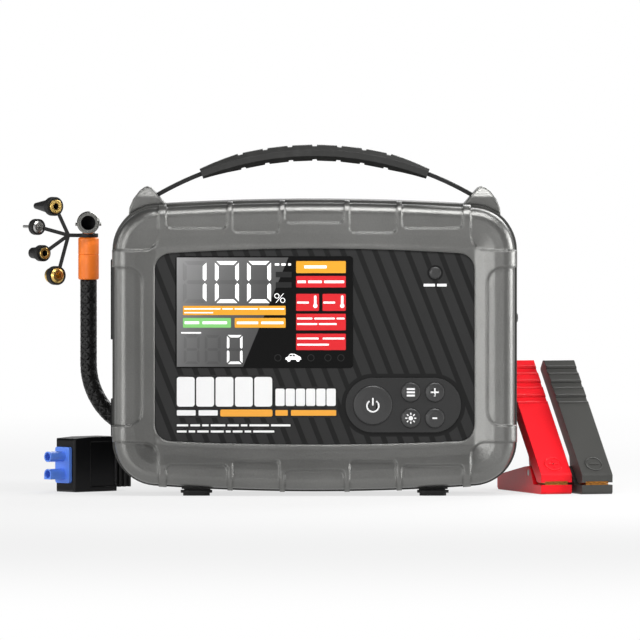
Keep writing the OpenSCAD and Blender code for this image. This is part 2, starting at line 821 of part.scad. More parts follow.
module control_plate() {
    r = plate_h / 2;
    color("#3b3b3a") face_on() translate([0, 0, panel_front]) difference() {
        linear_extrude(plate_t) union() {
            translate([plate_x, plate_z]) square([plate_w - plate_h, plate_h], center = true);
            for (side = [-1, 1])
                translate([plate_x + side * (plate_w / 2 - r), plate_z]) circle(r = r, $fn = 96);
        }
        for (k = keys()) translate([k[0], k[1], -1]) cylinder(h = 4, r = k[2] / 2 + key_gap);
    }
}

// Button with a domed cap, a flange behind the panel and a stem above its switch
module button(k, top) {
    r = k[2] / 2;
    back = panel_back - key_seat;
    dome = min(0.5, key_proud / 2);
    stem = board_front + switch_h + key_travel + 0.2;
    face_on() translate([k[0], k[1], 0]) rotate_extrude() polygon([
        [0, stem], [1.4, stem], [1.4, back - key_flange_t], [r + key_flange_w, back - key_flange_t],
        [r + key_flange_w, back], [r, back], [r, top - dome], [r - 0.6, top - 0.1],
        [r * 0.6, top + dome * 0.3], [0, top + dome * 0.4]
    ]);
}

module power_button() { color("#444443") button(keys()[0], plate_front + key_proud); }
module mode_button() { color("#444443") button(keys()[1], plate_front + key_proud); }
module plus_button() { color("#444443") button(keys()[2], plate_front + key_proud); }
module light_button() { color("#444443") button(keys()[3], plate_front + key_proud); }
module minus_button() { color("#444443") button(keys()[4], plate_front + key_proud); }
module force_start_button() {
    color("#5a5a59") button([force_x, force_z, force_d], panel_front + key_proud);
}

module main_board() {
    relay_w = 30;
    color("darkgreen") face_on() {
        translate([-board_x, board_low, board_front - board_t])
            cube([2 * board_x, board_high - board_low, board_t]);
        for (k = concat(keys(), [[force_x, force_z, force_d]])) {
            translate([k[0] - 3, k[1] - 3, board_front - 0.1]) cube([6, 6, switch_h - 0.7]);
            translate([k[0], k[1], board_front]) cylinder(h = switch_h, r = 1.6);
        }
        translate([board_x - relay_w - 4, board_high - 26, board_front - board_t - 12])
            cube([relay_w, 18, 12.1]);
    }
}

// ---------- ports, side button and torch

// Flap of a port: its hinge is at its back edge, on the plane of the side
module port_cover(z, h, w) {
    out = half_w + cover_proud;
    color("#262625") face_on() difference() {
        translate([-out, z, 0]) rotate([0, 90, 0]) linear_extrude(cover_t)
            polygon(round_box(-w / 2, -h / 2, w / 2, h / 2, 1.5));
        translate([-out - 1, z - 5, w / 2 - 6.5]) cube([1.5, 10, 2.5]);
    }
}

module usb_port_cover() { port_cover(usb_cover_z, usb_cover_h, usb_cover_w); }
module jump_port_cover() { port_cover(jump_cover_z, jump_cover_h, jump_cover_w); }

// Block that fills a port's window, with a flange behind the side
module port_block(z, h, w, depth) {
    front = half_w - side_recess - 0.5;
    translate([-front, z - h / 2 + block_gap, -w / 2 + block_gap])
        cube([depth, h - 2 * block_gap, w - 2 * block_gap]);
    translate([-half_w + wall + block_gap, z - h / 2 - 1.5, -w / 2 - 1.5]) cube([1.6, h + 3, w + 3]);
}

module usb_ports() {
    slot_h = 13.2;
    slot_w = 5.7;
    small_h = 9;
    small_w = 3.3;
    x = -half_w;
    color("#1b1b1b") face_on() difference() {
        port_block(usb_cover_z, usb_block_h, usb_block_w, 15);
        for (y = [-7.5, 7.5])
            translate([x, usb_cover_z + 2, y - slot_w / 2]) cube([14, slot_h, slot_w]);
        for (y = [-7.5, 7.5])
            translate([x, usb_cover_z - 12, y - small_w / 2]) cube([10, small_h, small_w]);
    }
}

module jump_socket() {
    color("royalblue") face_on() difference() {
        port_block(jump_cover_z, socket_block_h, socket_block_w, socket_depth + 3);
        for (side = [-1, 1])
            bar_x(-half_w, -half_w + side_recess + 0.5 + socket_depth, socket_r,
                  jump_cover_z + side * pole_pitch / 2, 0);
    }
}

module side_button() {
    r = side_key_d / 2;
    inner = half_w - wall;
    color("#555554") face_on() translate([0, side_key_z, 0]) rotate([0, 90, 0]) rotate_extrude() polygon([
        [0, inner - 2], [1.4, inner - 2], [1.4, inner - 1], [r + 1.2, inner - 1], [r + 1.2, inner - 0.2],
        [r, inner - 0.2], [r, half_w + cover_proud - 0.8], [r * 0.7, half_w + cover_proud - 0.2],
        [0, half_w + cover_proud]
    ]);
}

module lamp_lens() {
    inner = half_w - wall;
    color("white") face_on() {
        translate([inner - 0.3, lens_z - lens_h / 2 + 0.15, -lens_w / 2 + 0.15])
            cube([wall + 0.3, lens_h - 0.3, lens_w - 0.3]);
        translate([inner - 1.2, lens_z - lens_h / 2 - 1.5, -lens_w / 2 - 1.5])
            cube([1, lens_h + 3, lens_w + 3]);
    }
}

// ---------- battery

tray_half = frame_back - 1.5;

module battery_tray() {
    x0 = -chord - 1;
    x1 = pump_x - 20;
    z0 = inner_floor(chord) + 0.2;
    color("darkgray") face_on() difference() {
        translate([x0, z0, -tray_half]) cube([x1 - x0, 16, 2 * tray_half]);
        translate([x0 + 2, z0 + 2, 2 - tray_half]) cube([x1 - x0 - 4, 20, 2 * tray_half - 4]);
    }
}

module battery_cells() {
    cells = 4;
    pitch = (2 * tray_half - 4.6) / cells;
    cell_t = pitch - 0.5;
    x0 = -chord + 1.4;
    x1 = pump_x - 22.4;
    z0 = inner_floor(chord) + 2.4;
    color("steelblue") face_on() for (i = [0:cells - 1])
        translate([0, 0, (i - (cells - 1) / 2) * pitch - cell_t / 2])
            linear_extrude(cell_t) polygon(round_box(x0, z0, x1, z0 + case_h - 82, 4));
}

// ---------- compressor

// Outline of a gear with straight-sided teeth, thinned for backlash
function gear_outline(teeth, thin = 0.92) =
    let (p = gear_mod * teeth / 2, top = p + 0.9 * gear_mod, root = p - 1.2 * gear_mod,
         half = 90 / teeth * thin, tip = half * 0.5, foot = half * 1.45)
    [for (i = [0:teeth - 1]) let (a = 360 * i / teeth) each [
        root * [cos(a - foot), sin(a - foot)], p * [cos(a - half), sin(a - half)],
        top * [cos(a - tip), sin(a - tip)], top * [cos(a + tip), sin(a + tip)],
        p * [cos(a + half), sin(a + half)], root * [cos(a + foot), sin(a + foot)]]];

// Along +X from its children's XY plane, with the outline's y axis up
module along_x(x, y, z) {
    translate([x, y, z]) rotate([90, 0, 90]) children();
}

module crank_gear() {
    color("gainsboro") {
        along_x(gear_x0, pump_y, crank_z) difference() {
            linear_extrude(gear_t) polygon(gear_outline(crank_teeth));
            for (a = [-90:45:90])
                translate([13 * cos(a + 90), 13 * sin(a + 90), -1]) cylinder(h = gear_t + 2, r = 3);
        }
        bar_x(gear_x0, plate_x0 + mount_t + 2, shaft_r, pump_y, crank_z);
        bar_x(gear_x0 - 4.6, gear_x0 + 1, crank_pin_r, pump_y, crank_z - crank_r);
    }
}

module motor_pinion() {
    color("goldenrod") {
        along_x(gear_x0 - 0.5, pump_y, motor_z) rotate(90 + 180 / pinion_teeth)
            linear_extrude(gear_t + 1) polygon(gear_outline(pinion_teeth));
        bar_x(gear_x0 - 0.5, plate_x0 + mount_t + motor_len + 8, motor_shaft_r, pump_y, motor_z);
    }
}

module cooling_fan() {
    x0 = plate_x0 + mount_t + motor_len + 2;
    color("#222222") difference() {
        union() {
            bar_x(x0, x0 + fan_t, 4, pump_y, motor_z);
            for (i = [0:blades - 1])
                translate([x0 + fan_t / 2, pump_y, motor_z]) rotate([360 * i / blades, 0, 0])
                    translate([0, 0, 3]) rotate([0, 0, 35])
                        translate([-0.6, -3.4, 0]) cube([1.2, 6.8, fan_r - 3]);
        }
        bar_x(x0 - 1, x0 + fan_t + 1, motor_shaft_r + 0.02, pump_y, motor_z);
    }
}

module compressor_motor() {
    x0 = plate_x0 + mount_t;
    color("silver") difference() {
        union() {
            bar_x(x0, x0 + motor_len, motor_r, pump_y, motor_z);
            bar_x(x0 + motor_len, x0 + motor_len + 1.2, 5, pump_y, motor_z);
        }
        bar_x(x0 - 1, x0 + motor_len + 3, motor_shaft_r + run_gap, pump_y, motor_z);
        for (side = [-1, 1])
            translate([x0 + motor_len - 8, pump_y + side * motor_r - 1.5, motor_z - 4]) cube([5, 3, 8]);
    }
}

// Crankcase plate, finned cylinder and its head
module pump_cylinder() {
    x0 = plate_x0;
    foot = inner_floor(x0 + 22) + 0.1;
    outer = bore_r + cyl_wall;
    color("lightsteelblue") difference() {
        union() {
            translate([x0, pump_y - 17, foot]) cube([mount_t, 34, cyl_low + cyl_len - foot]);
            translate([x0, pump_y - 17, foot]) cube([22, 34, 3]);
            translate([pump_x, pump_y, cyl_low]) cylinder(h = cyl_len, r = outer);
            for (i = [0:fins - 1])
                translate([pump_x, pump_y, cyl_low + 3 + i * (cyl_len - 8) / (fins - 1)])
                    cylinder(h = 1.6, r = outer + fin_reach);
            translate([pump_x, pump_y, cyl_low + cyl_len]) cylinder(h = 4, r = outer + 1);
        }
        translate([pump_x, pump_y, cyl_low - 1]) cylinder(h = cyl_len - 3, r = bore_r);
        bar_x(x0 - 1, x0 + mount_t + 1, shaft_r + run_gap, pump_y, crank_z);
        bar_x(x0 - 1, x0 + mount_t + 1, motor_shaft_r + 1, pump_y, motor_z);
        translate([pump_x, pump_y, cyl_low + cyl_len - 5]) cylinder(h = 6, r = 1.5);
        translate([pump_x, pump_y, cyl_low + cyl_len + 2]) rotate([-90, 0, 0]) cylinder(h = 30, r = 1.3);
    }
}

// Piston at mid stroke, its rod and the open ring that the crank's pin turns in
module piston() {
    top = cyl_low + cyl_len / 2 + 4;
    color("silver") difference() {
        union() {
            translate([pump_x, pump_y, top - 8]) cylinder(h = 8, r = bore_r - 0.1);
            translate([pump_x - rod_t / 2, pump_y - 3, crank_z + rod_eye + 1])
                cube([rod_t, 6, top - 6 - crank_z - rod_eye - 1]);
            bar_x(pump_x - rod_t / 2, pump_x + rod_t / 2, rod_eye + 2.6, pump_y, crank_z);
        }
        bar_x(pump_x - rod_t, pump_x + rod_t, rod_eye, pump_y, crank_z);
    }
}

// Air line from the cylinder's head down to the outlet, inside the case
module air_line() {
    r = line_r;
    turn = 6;
    head = cyl_low + cyl_len + 2;
    start = pump_y + bore_r + cyl_wall + 1.1;
    down = line_y;
    color("whitesmoke") translate([pump_x, 0, 0]) {
        translate([0, start, head]) rotate([-90, 0, 0]) cylinder(h = down - turn - start, r = r);
        translate([0, down - turn, head - turn]) rotate([90, 0, 90])
            rotate_extrude(angle = 90) translate([turn, 0]) circle(r = r);
        translate([0, down, hose_z]) cylinder(h = head - hose_z - turn, r = r);
    }
}

// ---------- handle

// Ring segment of the arch, half_angle to each side of its top
module arch(half_angle) {
    translate([0, 0, arch_z]) rotate([90, 0, 0]) rotate(90 - half_angle)
        rotate_extrude(angle = 2 * half_angle, $fn = 360) children();
}

module handle_strap() {
    color("#161616") difference() {
        union() {
            arch(strap_angle - eye_lap / arch_r * 180 / PI)
                translate([arch_r - strap_t / 2, -strap_w / 2]) square([strap_t, strap_w]);
            for (side = [-1, 1])
                translate([side * strap_pin_x, strap_w / 2 - 0.5, strap_pin_z]) rotate([90, 0, 0])
                    cylinder(h = strap_w - 1, r = eye_r);
        }
        for (side = [-1, 1])
            translate([side * strap_pin_x, strap_w, strap_pin_z]) rotate([90, 0, 0])
                cylinder(h = 2 * strap_w, r = strap_pin_r + 0.1);
    }
}

module strap_pins() {
    len_y = horn_d - 6;
    color("silver") for (side = [-1, 1])
        translate([side * strap_pin_x, len_y / 2, strap_pin_z]) rotate([90, 0, 0])
            cylinder(h = len_y, r = strap_pin_r);
}

// Half the grip's thickness at an angle from its middle: it tapers beyond the pads
function grip_half_t(a) =
    let (pads = asin(3.2 * groove_pitch / arch_r), s = max(0, (abs(a) - pads) / (grip_angle - pads)))
    grip_t / 2 - (grip_t - grip_end_t) / 2 * s;

function in_groove(a) =
    let (x = arch_r * sin(a), k = round(x / groove_pitch)) abs(k) <= 3 && abs(x - k * groove_pitch) < groove_w / 2;

module handle_grip() {
    n = 7;
    reach = grip_t / 2 + 1;
    bevel = 3;
    edge = [for (a = grip_angles()) [a, grip_half_t(a) - (in_groove(a) ? groove_depth : 0)]];
    side_view = concat(
        [for (e = edge) (arch_r + e[1]) * [sin(e[0]), cos(e[0])]],
        [for (e = reversed(edge)) (arch_r - e[1]) * [sin(e[0]), cos(e[0])]]);
    color("#2b2b2a") difference() {
        intersection() {
            translate([0, grip_w / 2, arch_z]) rotate([90, 0, 0]) linear_extrude(grip_w) polygon(side_view);
            arch(grip_angle + 3) polygon([
                [arch_r - reach, -grip_w / 2 + bevel + 1], [arch_r - reach, grip_w / 2 - bevel - 1],
                [arch_r - reach + bevel + 1, grip_w / 2], [arch_r + reach - bevel - 1, grip_w / 2],
                [arch_r + reach, grip_w / 2 - bevel - 1], [arch_r + reach, -grip_w / 2 + bevel + 1],
                [arch_r + reach - bevel - 1, -grip_w / 2], [arch_r - reach + bevel + 1, -grip_w / 2]
            ]);
        }
        arch(grip_angle + 3) translate([arch_r - strap_t / 2 - 0.15, -strap_w / 2 - 0.15])
            square([strap_t + 0.3, strap_w + 0.3]);
    }
}

// Angles at which the grip's side view has a point, from left to right
function grip_angles() =
    let (last = 3 * groove_pitch + groove_w / 2, wall_dx = 0.15,
         grooves = [for (k = [-3:3]) each [
             k * groove_pitch - groove_w / 2 - wall_dx, k * groove_pitch - groove_w / 2 + wall_dx,
             k * groove_pitch, k * groove_pitch + groove_w / 2 - wall_dx,
             k * groove_pitch + groove_w / 2 + wall_dx]],
         taper = [for (i = [0:3]) last + 1 + (grip_half - last - 1) * i / 3])
    [for (x = concat([for (t = reversed(taper)) -t], grooves, taper)) asin(x / arch_r)];

// Ear that holds one end of the strap: drawn for the right side
module horn() {
    x = strap_pin_x;
    ear = [
        [x + 13.2, case_top - 14], [x + 12.6, case_top - 5], [x + 10.3, case_top + 0.4],
        [x + 6.5, case_top + 5.3], [x + 3.5, case_top + 7.5], [x + 1.3, case_top + 8.1],
        [x - 1.3, case_top + 7.1], [x - 9.6, case_top - 2.5], [x - 9.6, case_top - 14]
    ];
    bevel = 2.5;
    difference() {
        intersection() {
            translate([0, horn_d / 2, 0]) rotate([90, 0, 0]) linear_extrude(horn_d) polygon(ear);
            translate([x - 20, 0, 0]) rotate([90, 0, 90]) linear_extrude(60) polygon([
                [-horn_d / 2, case_top - 20], [-horn_d / 2, case_top + 2], [-horn_d / 2 + 5, case_top + 10],
                [horn_d / 2 - 5, case_top + 10], [horn_d / 2, case_top + 2], [horn_d / 2, case_top - 20]
            ]);
        }
        face_on() translate([0, 0, -case_d / 2]) linear_extrude(case_d) polygon(case_outline(ear_gap));
        arch(strap_angle - (eye_lap + strap_gap) / arch_r * 180 / PI)
            translate([arch_r - strap_t / 2 - strap_gap, -strap_w / 2 - strap_gap])
                square([strap_t + 2 * strap_gap, strap_w + 2 * strap_gap]);
        translate([x, strap_w / 2 + strap_gap, strap_pin_z]) rotate([90, 0, 0])
            cylinder(h = strap_w + 2 * strap_gap, r = eye_r + strap_gap);
        translate([x, horn_d / 2 + 1, strap_pin_z]) rotate([90, 0, 0])
            cylinder(h = horn_d - 1.9, r = strap_pin_r + 0.1);
    }
}

module horn_right() { color("gray") horn(); }
module horn_left() { color("gray") mirror([1, 0, 0]) horn(); }

// ---------- feet

module feet() {
    w = foot_w + 2 * foot_step;
    d = foot_d + 2 * foot_step;
    color("#101010") for (x = [-foot_x, foot_x], y = [-foot_y, foot_y]) translate([x, y, 0]) {
        linear_extrude(tread_h + 0.1)
            polygon(round_box(-foot_w / 2, -foot_d / 2, foot_w / 2, foot_d / 2, 3.5));
        translate([0, 0, tread_h]) linear_extrude(foot_seat - tread_h)
            polygon(round_box(-w / 2, -d / 2, w / 2, d / 2, 4.5));
    }
}

// ---------- hose and connector

module hose_outlet() {
    back = face;
    color("#202020") {
        translate([pump_x, back, hose_z]) rotate([-90, 0, 0]) cylinder(h = 2.4, r = 9);
        translate([pump_x, line_y + line_r + 0.1, hose_z]) rotate([-90, 0, 0])
            cylinder(h = back + 1 - line_y - line_r, r = neck_r);
        translate([pump_x, back + 2, hose_z]) rotate([-90, 0, 0]) cylinder(h = hose_y - back + 5, r = 7);
        translate([pump_x - outlet_len, hose_y, hose_z]) rotate([0, 90, 0])
            cylinder(h = outlet_len, r1 = hose_d / 2 + 0.9, r2 = hose_d / 2 + 1.6);
    }
}

module air_hose() {
    color("#1a1a1a") tube(hose_path, hose_d / 2, hose_sides, [0, 1, 0]);
}

module sleeve_lower() {
    r = sleeve_d / 2;
    color("darkorange") translate([hose_x, hose_y, sleeve_z]) rotate_extrude() polygon([
        [0, 0], [r - 0.5, 0], [r, 0.6], [r, sleeve_low - 0.3], [r - 0.25, sleeve_low], [0, sleeve_low]
    ]);
}

module sleeve_upper() {
    r = sleeve_d / 2;
    color("darkorange") translate([hose_x, hose_y, sleeve_z + sleeve_low]) rotate_extrude() polygon([
        [0, 0], [r - 0.25, 0], [r, 0.3], [r, sleeve_up - 0.8], [r - 0.7, sleeve_up], [0, sleeve_up]
    ]);
}

// Body of the valve connector: a neck up from the sleeve and a barrel that faces the front
module chuck_body() {
    front = hose_y - collar_len / 2 + 0.3;
    color("silver") difference() {
        union() {
            translate([hose_x, hose_y + 2, sleeve_z + sleeve_low + sleeve_up])
                cylinder(h = 6, r = neck_r);
            translate([hose_x, front, collar_z]) rotate([-90, 0, 0]) rotate_extrude() polygon([
                [0, 0], [chuck_r - 0.6, 0], [chuck_r - 0.3, 0.3], [chuck_r - 0.3, chuck_len - 3],
                [chuck_r - 1.6, chuck_len - 1], [chuck_r - 3, chuck_len], [0, chuck_len]
            ]);
            translate([hose_x, front + 1, collar_z]) rotate([90, 0, 0])
                cylinder(h = collar_len + 0.8, r = spigot_r);
        }
        translate([hose_x, front - collar_len - 1, collar_z]) rotate([-90, 0, 0])
            cylinder(h = collar_len + chuck_len - 3, r = chuck_bore_r);
    }
}

// Collar that turns on the connector, with its two small pins
module chuck_collar() {
    front = hose_y - collar_len / 2;
    color("gainsboro") translate([hose_x, front, collar_z]) {
        rotate([90, 0, 0]) rotate_extrude() polygon([
            [spigot_r + run_gap, 0], [chuck_r - 0.4, 0], [chuck_r, 0.5], [chuck_r, collar_len - 1.6],
            [chuck_r - 0.4, collar_len - 0.4], [chuck_r - 0.8, collar_len], [spigot_r + run_gap, collar_len]
        ]);
        for (side = [-1, 1])
            translate([side * (chuck_r - 1), -collar_len / 2, -1]) rotate([0, side * 90, 0])
                cylinder(h = 2, r = 1);
    }
}

// ---------- nozzle adapters

// Puts a piece, drawn along +Z from the strap's ring, at an adapter's place
module at_adapter(place) {
    translate([place[0], hose_y, place[1]]) rotate([0, 0, adapter_yaw]) rotate([-90, 0, 0]) children();
}

function adapter_rings() = [[cone_at, cone_r], [needle_at, needle_r], [tube_at, tube_r], [brass_at, brass_r]];

module adapter_strap() {
    loop_z = sleeve_z + sleeve_low + sleeve_up;
    color("#141414") difference() {
        union() {
            for (ring = adapter_rings()) {
                at_adapter(ring[0]) cylinder(h = ring_len, r = ring[1] + ring_gap + ring_t);
                tether([ring[0][0], ring[0][1]], knot);
            }
            tether(knot, [hose_x - sleeve_d / 2 + 0.5, loop_z + 1.2]);
            translate([hose_x, hose_y + 2, loop_z + 0.1]) cylinder(h = tether_w, r = neck_r + 2);
        }
        for (ring = adapter_rings())
            at_adapter(ring[0]) translate([0, 0, -3]) cylinder(h = ring_len + 6, r = ring[1] + ring_gap);
        translate([hose_x, hose_y + 2, loop_z - 1]) cylinder(h = tether_w + 3, r = neck_r + 0.15);
    }
}

// Flat arm of the strap between two points of its plane
module tether(from, to) {
    d = to - from;
    translate([from[0], hose_y + 2 - tether_t / 2 + 0.6, from[1]]) rotate([0, -atan2(d[1], d[0]), 0])
        translate([0, 0, -tether_w / 2]) cube([norm(d), tether_t, tether_w]);
}

module cone_adapter() {
    color("#1c1c1c") at_adapter(cone_at) rotate_extrude() polygon([
        [2, 0], [cone_r - 0.3, 0], [cone_r, 0.3], [cone_r, ring_len + 1], [1.9, cone_len - 0.8],
        [1.1, cone_len], [0, cone_len], [0, 3], [2, 3]
    ]);
}

module needle_adapter() {
    color("silver") at_adapter(needle_at) rotate_extrude() polygon([
        [1.4, -0.6], [needle_r - 1, -0.6], [needle_r, 0], [needle_r, ring_len + 1],
        [needle_r - 1, ring_len + 3], [0.9, ring_len + 4.5], [0.9, needle_len - 0.8], [0.4, needle_len],
        [0, needle_len], [0, 2], [1.4, 2]
    ]);
}

module tube_adapter() {
    color("#1c1c1c") at_adapter(tube_at) rotate_extrude() polygon([
        [1.9, -1], [tube_r - 0.4, -1], [tube_r, -0.6], [tube_r, ring_len + 2], [tube_r - 0.5, tube_len],
        [0, tube_len], [0, 4], [1.9, 4]
    ]);
}

module brass_adapter() {
    color("darkgoldenrod") at_adapter(brass_at) rotate_extrude() polygon([
        [1.8, -1], [brass_r - 1.2, -1], [brass_r, 0], [brass_r, brass_len - 1], [brass_r - 1, brass_len],
        [0, brass_len], [0, 4], [1.8, 4]
    ]);
}

// ---------- plug box

// Plug box's own frame: x along its length from the plug's end, y across, z up
module at_box() {
    translate([box_at[0], box_at[1], 0]) rotate(box_yaw) children();
}

module module_case() {
    step_x = 13.5;
    b = box_bevel;
    color("#151515") at_box() difference() {
        intersection() {
            linear_extrude(box_h) polygon([
                [b, 0], [box_len - b, 0], [box_len, b], [box_len, box_t - b], [box_len - b, box_t],
                [b, box_t], [0, box_t - b], [0, b]
            ]);
            translate([0, box_t + 1, 0]) rotate([90, 0, 0]) linear_extrude(box_t + 2) polygon([
                [b, 0], [box_len - b, 0], [box_len, b], [box_len, box_h - b], [box_len - b, box_h],
                [step_x, box_h], [b, box_h - 0.8], [0, box_h - b - 0.8], [0, b]
            ]);
        }
        for (y = [-1, box_t - 0.7])
            translate([step_x, y, 3]) cube([box_len - step_x - 2, 1.7, box_h - 6]);
        translate([box_len - 5, box_t / 2 - 3, box_h / 2 - 9]) cube([6, 6, 18]);
    }
}

module module_boot() {
    mid = box_t / 2;
    low = (box_h - boot_h) / 2 - 1.5;
    color("#101010") at_box() difference() {
        union() {
            translate([box_len - 4.8, mid - 2.8, box_h / 2 - 8.8]) cube([6, 5.6, 17.6]);
            translate([box_len + 0.2, 0, 0]) {
                translate([0, mid - 4, low]) cube([boot_len, 8, boot_h]);
                for (i = [0:boot_ribs - 1])
                    translate([i * (boot_len - 1.6) / (boot_ribs - 1), mid - 5, low - 0.8])
                        cube([1.6, 10, boot_h + 1.6]);
            }
        }
        for (side = [-1, 1])
            translate([box_len + 4, mid, low + boot_h / 2 + side * 5.6]) rotate([0, 90, 0])
                cylinder(h = boot_len, r = 2.6);
    }
}

// Two-pole plug: round poles on a flange, the lower one squared underneath so that it fits one way
module ec5_plug() {
    mid = box_t / 2;
    color("dodgerblue") at_box() difference() {
        union() {
            translate([-flange_t, mid, poles_z]) rotate([90, 0, 90]) linear_extrude(flange_t)
                polygon(round_box(-flange_w / 2, -flange_h / 2, flange_w / 2, flange_h / 2, 1.5));
            for (side = [-1, 1])
                bar_x(-flange_t - pole_len, -flange_t + 1, pole_r, mid, poles_z + side * pole_pitch / 2);
            translate([-flange_t - pole_len, mid - pole_r, poles_z - pole_pitch / 2 - pole_r])
                cube([pole_len + 1, 2 * pole_r, pole_r]);
        }
        for (side = [-1, 1])
            bar_x(-flange_t - pole_len - 1, -flange_t - 1.5, 2.4, mid, poles_z + side * pole_pitch / 2);
    }
}

// ---------- clamps

// Clamp's own frame: x from the nose to the handles along the floor, y across, z up
module at_clamp(place) {
    translate([place[0], place[1], 0]) rotate(90 + clamp_yaw) children();
}

// Side view of a solid between two distances from the clamp's middle plane, on both sides
module cheeks(y0, y1) {
    for (side = [0, 1]) mirror([0, side, 0])
        translate([0, y1, 0]) rotate([90, 0, 0]) linear_extrude(y1 - y0) children();
}

module slab(half) {
    translate([0, half, 0]) rotate([90, 0, 0]) linear_extrude(2 * half) children();
}

arm_dir = [cos(arm_angle), sin(arm_angle)];
arm_in = [sin(arm_angle), -cos(arm_angle)];
nose_top = [nose_in, upper_lip + nose_rise];
arm_end = nose_top + upper_len * arm_dir;

// Point of the upper arm, s along its back from the nose and d below it
function on_arm(s, d) = nose_top + s * arm_dir + d * arm_in;

function upper_side() = [
    [0.3, upper_lip], [0.3, upper_lip + nose_rise - 1.4], on_arm(0, 0), on_arm(upper_len - 1.5, 0),
    on_arm(upper_len, 1.5), on_arm(upper_len, channel_d - 1), on_arm(upper_len - 1, channel_d),
    on_arm((upper_lip + 0.4 - on_arm(0, channel_d)[1]) / arm_dir[1], channel_d), [8, upper_lip]
];

module upper_arm(place) {
    h = clamp_w / 2;
    inner = h - arm_wall;
    ridge_len = 5.2;
    at_clamp(place) difference() {
        union() {
            slab(h) polygon(upper_side());
            cheeks(inner - arm_gap - lobe_t, inner - arm_gap) {
                translate([pin_back, pin_z]) circle(r = lug_r - 0.4);
                polygon([
                    [pin_back - lug_r + 0.9, pin_z], [pin_back + lug_r - 0.6, pin_z],
                    on_arm(42, channel_d - 3), on_arm(22, channel_d - 3)
                ]);
            }
            cheeks(inner - arm_gap - lobe_t, inner + 0.5)
                polygon([on_arm(22, channel_d - 1), on_arm(42, channel_d - 1), on_arm(42, 2), on_arm(22, 2)]);
            for (i = [0:2]) for (e = [0, ridge_len + 1.2])
                slab(h - 0.2) let (s = upper_len - 6.6 - 12.6 * i - e)
                    polygon([on_arm(s, 0.5), on_arm(s + 0.2, -0.45), on_arm(s - 1, -0.45), on_arm(s - 1.2, 0.5)]);
            emblem();
        }
        slab(inner) polygon([
            on_arm(8, arm_wall), on_arm(20, arm_wall), on_arm(20, channel_d + 6), [12, upper_lip + 1.5],
            [8, upper_lip + 1.6]
        ]);
        slab(inner - arm_gap - lobe_t) polygon([
            on_arm(19, arm_wall), on_arm(43.5, arm_wall), on_arm(43.5, channel_d + 8), on_arm(19, channel_d + 14)
        ]);
        slab(inner) polygon([
            on_arm(43, arm_wall), on_arm(upper_len - arm_wall, arm_wall),
            on_arm(upper_len - arm_wall, channel_d + 2), on_arm(43, channel_d + 2)
        ]);
        for (i = [0:2]) slab(h + 1) let (s = upper_len - 7.8 - 12.6 * i)
            polygon([on_arm(s, -2), on_arm(s - 0.4, 0.8), on_arm(s - ridge_len + 0.4, 0.8),
                     on_arm(s - ridge_len, -2)]);
        translate([pin_back, clamp_w, pin_z]) rotate([90, 0, 0])
            cylinder(h = 2 * clamp_w, r = clamp_pin_r + 0.06);
        translate([jaw_start - 5, -jaw_w() / 2 - 0.15, upper_lip - 5])
            cube([jaw_end - jaw_start + 5.6, jaw_w() + 0.3, 5.75]);
    }
}

// Round boss near the nose of an upper arm
module emblem() {
    place = on_arm(7.6, 0);
    translate([place[0], 0, place[1]]) rotate([0, -arm_angle, 0]) difference() {
        translate([0, 0, -1]) cylinder(h = 1.5, r = 5.6);
        translate([0, 0, 0.12]) cylinder(h = 2, r = 4.9);
    }
}

module lower_arm(place) {
    h = clamp_w / 2;
    inner = h - arm_wall;
    tail = lower_len;
    at_clamp(place) difference() {
        slab(h) polygon([
            [0.3, 1.2], [1.5, 0], [tail - 2, 0], [tail, 1.5], [tail, 7.8], [tail - 1.4, 9.3],
            [pin_back + 6, pin_z + 3.6], [pin_back, pin_z + lug_r - 0.9], [pin_back - 5, pin_z + 2.2],
            [jaw_end + 2.6, 8.8], [jaw_end + 0.5, lip_h], [0.3, lip_h]
        ]);
        slab(inner) polygon([
            [jaw_end + 2, 20], [jaw_end + 2, arm_wall], [tail - arm_wall, arm_wall], [tail - arm_wall, 20]
        ]);
        translate([pin_back, clamp_w, pin_z]) rotate([90, 0, 0])
            cylinder(h = 2 * clamp_w, r = clamp_pin_r + 0.05);
    }
}

function jaw_w() = clamp_w - 2 * arm_wall - 0.4;

// Ridged outline across a jaw: teeth between two heights
function jaw_teeth_line(z) =
    [for (i = [0:2 * jaw_teeth]) [-jaw_w() / 2 + jaw_w() * i / (2 * jaw_teeth), z + (i % 2) * tooth_h]];

module lower_jaw(place) {
    at_clamp(place) translate([jaw_start, 0, 0]) rotate([90, 0, 90])
        linear_extrude(jaw_end - jaw_start) polygon(concat(
        [[jaw_w() / 2, lip_h], [-jaw_w() / 2, lip_h]], jaw_teeth_line(lip_h + jaw_t)));
}

module upper_jaw(place) {
    top = upper_lip + 0.7;
    at_clamp(place) translate([jaw_start, 0, 0]) rotate([90, 0, 90])
        linear_extrude(jaw_end - jaw_start) polygon(concat(
        [[jaw_w() / 2, top], [-jaw_w() / 2, top]], jaw_teeth_line(lip_h + jaw_t + 0.3)));
}

module clamp_pin(place) {
    at_clamp(place) translate([pin_back, clamp_w / 2 - 0.2, pin_z]) rotate([90, 0, 0])
        cylinder(h = clamp_w - 0.4, r = clamp_pin_r);
}

// Torsion spring round the pin: a coil and its two legs, one unbroken wire
spring_pitch = 2 * spring_wire_r + spring_gap;
coil_steps = 8;
function spring_path() =
    let (n = ceil(spring_turns * coil_steps), w = spring_turns * spring_pitch,
         a0 = -90, at = function (i) let (a = a0 + 360 * i / coil_steps)
             [pin_back + spring_r * cos(a), -w / 2 + w * i / n, pin_z + spring_r * sin(a)])
    concat(
        [[pin_back + 24, -w / 2, pin_z - spring_r - 3.6], [pin_back + 12, -w / 2, pin_z - spring_r - 1.2]],
        [for (i = [0:n]) at(i)],
        [[at(n)[0] + 9, w / 2, at(n)[2] + 3], [at(n)[0] + 19, w / 2, at(n)[2] + 12]]);

